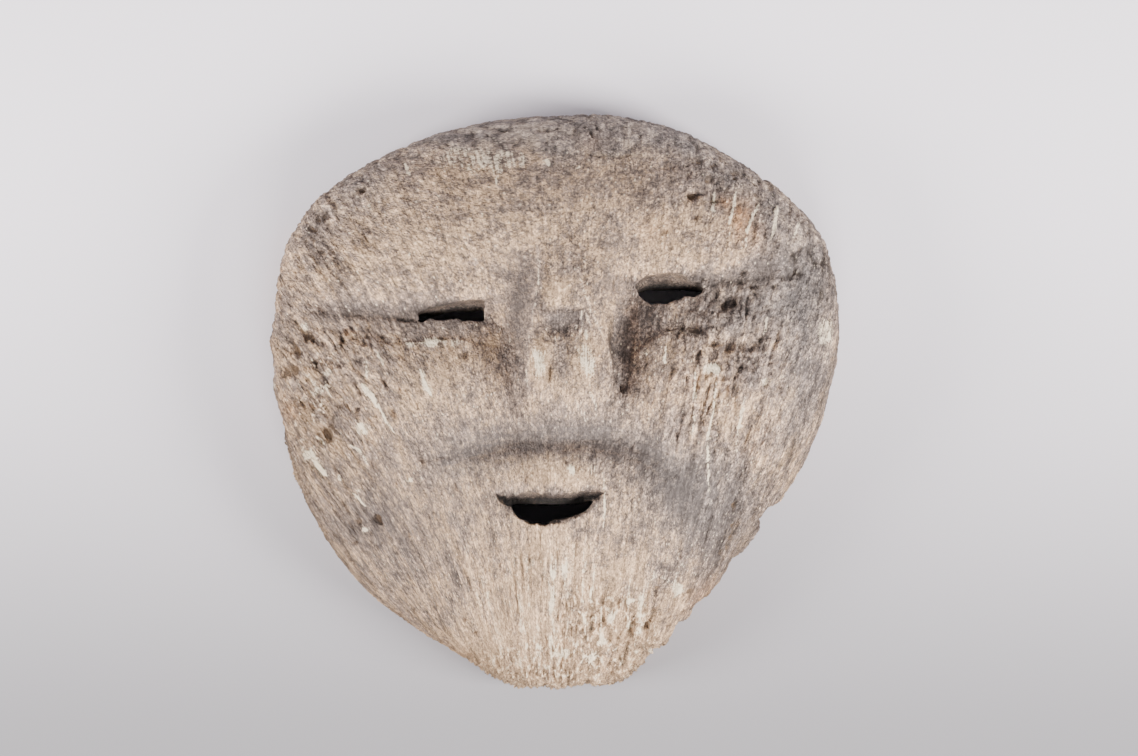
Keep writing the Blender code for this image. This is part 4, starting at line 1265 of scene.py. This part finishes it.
@dataclass
class CarvedMask:
    """The mask itself: one block of wood with its cuts, weathered all over."""

    name: str = "carved_mask_wood"
    node: str = "carved_mask"
    grid: int = 200
    voxel: float = 0.56
    triangles: int = 196000
    back_triangles: int = 26000
    form: MaskForm = MaskForm()
    wood: WeatheredWood = WeatheredWood()
    cuts: tuple[SlitCut, ...] = (
        SlitCut("left_eye_cut", (
            (-50.8, 33.6), (-38, 35.6), (-30, 36.2), (-26.2, 36.4), (-25.8, 29.6), (-28.5, 29.2),
            (-32, 29.6),
            (-34.5, 29.2), (-36, 30.4), (-39, 30.2), (-41, 29.6), (-43.5, 29.8), (-46, 30.8), (-47.5, 29.6),
            (-50, 29)), 50.0, 0.43, 1.5),
        SlitCut("right_eye_cut", (
            (30, 42.4), (34, 44.6), (44, 45.4), (52, 45.6), (55, 44.2), (54.6, 41.4), (52, 40.2),
            (50, 39.2),
            (47.5, 39), (45, 38), (42.2, 36.8), (39.8, 35.8), (37.6, 36.2), (35, 36), (33, 37.4),
            (31, 39.6)),
            50.0, 0.54, 2.0),
        SlitCut("mouth_cut", (
            (-16.4, -37.2), (-10, -37.4), (0, -37.7), (8, -37.2), (14.6, -36), (13.2, -38.8), (11.2, -40.6),
            (9, -41.4), (5, -42.8), (2, -43.4), (-1, -43.6), (-2.5, -45.2), (-4, -45.4), (-6, -44.7),
            (-9, -45),
            (-10.5, -43.7), (-13, -43.2), (-14.6, -41.4), (-15.8, -39.6)), 58.0, 0.84, 0.0),
    )
    weather: Weather = field(init=False)
    item: bpy.types.Object = field(init=False, default=None)

    def __post_init__(self) -> None:
        """Weather the form that the mask has."""
        self.weather = Weather(self.form)

    def disc_grid(self) -> tuple[np.ndarray, np.ndarray]:
        """Bend a square grid onto a disc.

        Returns:
            Each point's share of the radius, and its direction.
        """
        ticks = np.linspace(-1, 1, self.grid + 1)
        u, v = np.meshgrid(ticks, ticks, indexing="ij")
        wide = np.abs(u) > np.abs(v)
        share = np.where(wide, np.abs(u), np.abs(v))
        safe_u, safe_v = np.where(u == 0, 1, u), np.where(v == 0, 1, v)
        angle = np.where(wide, math.pi / 4 * v / safe_u, math.pi / 2 - math.pi / 4 * u / safe_v)
        return share, angle + np.where(np.where(wide, u < 0, v < 0), math.pi, 0)

    def block(self) -> bpy.types.Object:
        """Make the closed block with its hollow, before any cut."""
        share, angle = self.disc_grid()
        points = [self.form.points(side, share, angle).reshape(-1, 3) for side in Side]
        side = self.grid + 1
        index = np.arange(side * side).reshape(side, side)
        on_edge = np.zeros((side, side), bool)
        on_edge[[0, -1], :] = True
        on_edge[:, [0, -1]] = True
        back_index = np.where(on_edge, index, index + side * side)
        quads = []
        for grid, turned in ((index, False), (back_index, True)):
            corners = np.stack([grid[:-1, :-1], grid[1:, :-1], grid[1:, 1:], grid[:-1, 1:]], axis=-1)
            corners = corners.reshape(-1, 4)
            quads.append(corners[:, ::-1] if turned else corners)
        mesh = bpy.data.meshes.new(self.name)
        mesh.from_pydata((np.concatenate(points) * MM).tolist(), [], np.concatenate(quads).tolist())
        shape = bmesh.new()
        shape.from_mesh(mesh)
        bpy.data.meshes.remove(mesh)
        bmesh.ops.delete(shape, geom=[v for v in shape.verts if not v.link_faces], context="VERTS")
        return object_from(shape, self.name)

    def saw_slab(self) -> bpy.types.Object:
        """Make the slab whose top is the plane that the rim is sawn to."""
        shape = bmesh.new()
        bmesh.ops.create_cube(shape, size=1.0)
        bmesh.ops.scale(shape, vec=(0.4, 0.4, 0.02), verts=shape.verts)
        bmesh.ops.translate(shape, vec=(0, 0, -0.01), verts=shape.verts)
        return object_from(shape, "saw_plane")

    def build(self) -> None:
        """Make the mask's mesh: cut the block, give it an even fine mesh and weather it."""
        self.item = self.block()
        cutters = [cut.build() for cut in self.cuts] + [self.saw_slab()]
        for cutter in cutters:
            modifier = self.item.modifiers.new(cutter.name, "BOOLEAN")
            modifier.operation = "DIFFERENCE"
            modifier.solver = "EXACT"
            modifier.object = cutter
        settle(self.item)
        for cutter in cutters:
            bpy.data.objects.remove(cutter, do_unlink=True)
        even = self.item.modifiers.new("even_mesh", "REMESH")
        even.mode = "VOXEL"
        even.voxel_size = self.voxel * MM
        settle(self.item)
        self.carve_relief()
        self.thin_back()
        self.thin_to(self.triangles)
        self.item.data.shade_smooth()

    def thin_to(self, triangles: int, group: str = "") -> None:
        """Merge faces until the mesh has this many triangles, only in the group if one is named."""
        thin = self.item.modifiers.new("fewer_faces", "DECIMATE")
        faces = sum(len(polygon.vertices) - 2 for polygon in self.item.data.polygons)
        thin.ratio = min(1.0, triangles / faces)
        thin.vertex_group = group
        settle(self.item)

    def thin_back(self) -> None:
        """Merge most faces of the plain back, so that the face keeps the finer mesh."""
        at, facing = self.places()
        plain = self.face_share(at, facing)[1] > 0.6
        back = self.item.vertex_groups.new(name="plain_back")
        back.add(np.flatnonzero(plain).tolist(), 1.0, "REPLACE")
        faces = sum(len(polygon.vertices) - 2 for polygon in self.item.data.polygons)
        self.thin_to(int(faces - 2 * plain.sum() + self.back_triangles), back.name)
        self.item.vertex_groups.clear()

    def places(self) -> tuple[np.ndarray, np.ndarray]:
        """Read where the mesh's points are, in millimetres, and which way they face."""
        mesh = self.item.data
        at = np.empty(len(mesh.vertices) * 3, np.float32)
        mesh.vertices.foreach_get("co", at)
        facing = np.empty(len(mesh.vertices) * 3, np.float32)
        mesh.vertex_normals.foreach_get("vector", facing)
        return at.reshape(-1, 3).astype(float) / MM, facing.reshape(-1, 3).astype(float)

    def face_share(self, at: np.ndarray, facing: np.ndarray) -> tuple[np.ndarray, np.ndarray]:
        """Tell the face and the outer wall from the cuts and from the back.

        Args:
            at: the places, three numbers each.
            facing: the direction each place faces.

        Returns:
            How much each place belongs to the face, and how much to the hollow and the rim's underside.
        """
        x, y, z = at.T
        out = np.hypot(x, y)
        edge = self.form.outline.radius(np.arctan2(y, x))
        under_face = self.form.face_height(x, y) - z
        over_hollow = z - self.form.hollow_ceiling(x, y)
        on_wall = step(0.93, 0.965, out / edge)
        face = np.maximum(1 - step(1.4, 4.0, under_face), on_wall)
        back = (1 - step(0.5, 3.0, over_hollow)) * (1 - step(0.955, 0.97, out / edge))
        back = np.maximum(back, (1 - face) * step(0.72, 0.8, out / edge))
        under = step(-0.5, -0.9, facing[:, 2]) * step(1.5, 0.2, z)
        return face * (1 - under), np.maximum(back, under)

    def carve_relief(self) -> None:
        """Press the weathered relief into the mesh."""
        at, facing = self.places()
        face, back = self.face_share(at, facing)
        x, y, z = at.T
        wall = 0.35 * Noise(53).layered(x / 1.6, y / 3.0, z / 2.2, layers=3)
        lift = wall.copy()
        on_face = np.flatnonzero(face > 0.001)
        relief = self.weather.face_relief(at[on_face])["relief"]
        lift[on_face] = wall[on_face] * (1 - face[on_face]) + relief * face[on_face]
        on_back = np.flatnonzero(back > 0.001)
        hollow = self.weather.back_relief(at[on_back])
        lift[on_back] = lift[on_back] * (1 - back[on_back]) + hollow * back[on_back]
        lift = lift * step(0.0, 3.0, z)
        at = at + facing * lift[:, None]
        at[:, 2] = np.clip(at[:, 2], 0, None)
        self.item.data.vertices.foreach_set("co", (at * MM).astype(np.float32).ravel())
        self.item.data.update()

    def store(self, name: str, values: np.ndarray) -> None:
        """Keep a share or a place on every point of the mesh, for the finish to read."""
        flat = values.ndim == 1
        kind, field_name = ("FLOAT", "value") if flat else ("FLOAT_VECTOR", "vector")
        layer = self.item.data.attributes.new(name, kind, "POINT")
        layer.data.foreach_set(field_name, values.astype(np.float32).ravel())

    def dress(self) -> None:
        """Keep the staining, streaks, painted light and shade and fibre places on the mesh, and give it its
        wood.
        """
        at, facing = self.places()
        face, back = self.face_share(at, facing)
        shares = self.weather.face_relief(at)
        depth = np.clip(self.form.face_height(at[:, 0], at[:, 1]) - at[:, 2], 0, None)
        in_cut = np.clip(1 - face - back, 0, 1)
        # Painted shade inside the slits and under the upper lip, darker the deeper the cut.
        near_slit = self.weather.tract(self.weather.slit_shade, at[:, 0], at[:, 1])
        painted_shade = (1 - face) * near_slit * step(0.5, 8.0, depth)
        under_lip = (1 - face) * (1 - back) * step(-30, -34, at[:, 1])
        grain = np.stack([shares["across"], shares["along"], at[:, 2] * (1 - face)], axis=-1)
        self.store("grain", grain)
        # Painted shade: the walls of the cuts and the dark inside the slits are darkened here too.
        self.store("grime_and_shade", np.clip(shares["grime_and_shade"] * face + 0.5 * in_cut + 0.4 * painted_shade, 0, 1))
        self.store("wear_and_shade", shares["wear_and_shade"] * face)
        self.store("painted_shade", np.clip(painted_shade + shares["painted_shade"] * (face + under_lip), 0, 1))
        self.store("pale", shares["pale"] * face)
        self.store("bare", shares["bare"] * face)
        self.store("dust", shares["dust"] * face)
        self.store("greyed", shares["greyed"] * face)
        self.store("inside", back)
        self.item.data.materials.clear()
        self.item.data.materials.append(self.wood.build())
        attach(self.item, "root")
        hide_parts(self.node)
        LOG.info("%s: %d points, %d faces", self.name, len(self.item.data.vertices),
                 len(self.item.data.polygons))


@dataclass(frozen=True)
class PaperTable:
    """The plain pale table, a little darker towards the chin."""

    size: float = 6.0
    far: Colour = (0.85, 0.78, 0.815, 1.0)
    near: Colour = (0.225, 0.212, 0.218, 1.0)
    fade: tuple[float, float] = (-0.145, 0.11)

    def build(self) -> bpy.types.Object:
        """Lay the table under the mask.

        Returns:
            The table.
        """
        shape = bmesh.new()
        bmesh.ops.create_grid(shape, x_segments=2, y_segments=2, size=self.size / 2)
        table = object_from(shape, "paper_table")
        material = bpy.data.materials.new("table_paper")
        material.use_nodes = True
        sheet = NodeSheet(material.node_tree)
        shader = material.node_tree.nodes["Principled BSDF"]
        place = sheet.add("ShaderNodeTexCoord").outputs["Object"]
        apart = sheet.add("ShaderNodeSeparateXYZ")
        sheet.join(place, apart.inputs[0])
        share = sheet.spread(apart.outputs["Y"], *self.fade)
        sheet.join(sheet.blend(share, self.near, self.far), shader.inputs["Base Color"])
        shader.inputs["Roughness"].default_value = 0.85
        shader.inputs["Specular IOR Level"].default_value = 0.2
        table.data.materials.append(material)
        return table


@dataclass(frozen=True)
class SoftBox:
    """A large soft studio lamp."""

    name: str
    place: tuple[float, float, float]
    size: Place
    power: float
    aim: tuple[float, float, float] = (0.0, 0.0, 0.02)

    def build(self) -> bpy.types.Object:
        """Hang the lamp and turn it to what it lights."""
        data = bpy.data.lights.new(self.name, "AREA")
        data.shape = "RECTANGLE"
        data.size, data.size_y = self.size
        data.energy = self.power
        lamp = bpy.data.objects.new(self.name, data)
        bpy.context.scene.collection.objects.link(lamp)
        lamp.location = self.place
        away = [here - there for here, there in zip(self.place, self.aim)]
        flat = math.hypot(away[0], away[1])
        lamp.rotation_euler = (math.atan2(flat, away[2]), 0, math.atan2(away[0], -away[1]) if flat else 0)
        return lamp


@dataclass(frozen=True)
class CopyStand:
    """The studio: soft lamps on both sides and the camera looking straight down."""

    middle: Place = (5.2, 8.4)
    outline_level: float = 15.0
    frame_width: float = 423.3
    distance: float = 3.0
    sensor: float = 36.0
    fill: Colour = (0.9, 0.92, 1.0, 1.0)
    fill_strength: float = 0.8
    lamps: tuple[SoftBox, ...] = (
        SoftBox("left_lamp", (-1.25, -0.35, 0.65), (0.6, 0.6), 44.0),
        SoftBox("right_lamp", (1.2, -0.45, 0.8), (0.6, 0.6), 54.0),
        SoftBox("chin_lamp", (0.2, -1.35, 0.95), (0.8, 0.7), 30.0),
    )

    def build(self) -> None:
        """Set up the lamps, the fill light and the camera."""
        for lamp in self.lamps:
            lamp.build()
        world = bpy.data.worlds.new("soft_room")
        world.use_nodes = True
        backdrop = world.node_tree.nodes["Background"]
        backdrop.inputs["Color"].default_value = self.fill
        backdrop.inputs["Strength"].default_value = self.fill_strength
        bpy.context.scene.world = world
        data = bpy.data.cameras.new("photo_camera")
        data.sensor_width = self.sensor
        data.lens = self.sensor * self.distance / (self.frame_width * MM)
        data.clip_end = 20.0
        camera = bpy.data.objects.new("photo_camera", data)
        bpy.context.scene.collection.objects.link(camera)
        camera.location = (self.middle[0] * MM, self.middle[1] * MM,
                           self.outline_level * MM + self.distance)
        bpy.context.scene.camera = camera


def main() -> None:
    """Build the mask, its table and the studio."""
    logging.basicConfig(level=logging.INFO, format="%(message)s")
    mask = CarvedMask()
    mask.build()
    mask.dress()
    PaperTable().build()
    CopyStand().build()


if __name__ == "__main__":
    main()
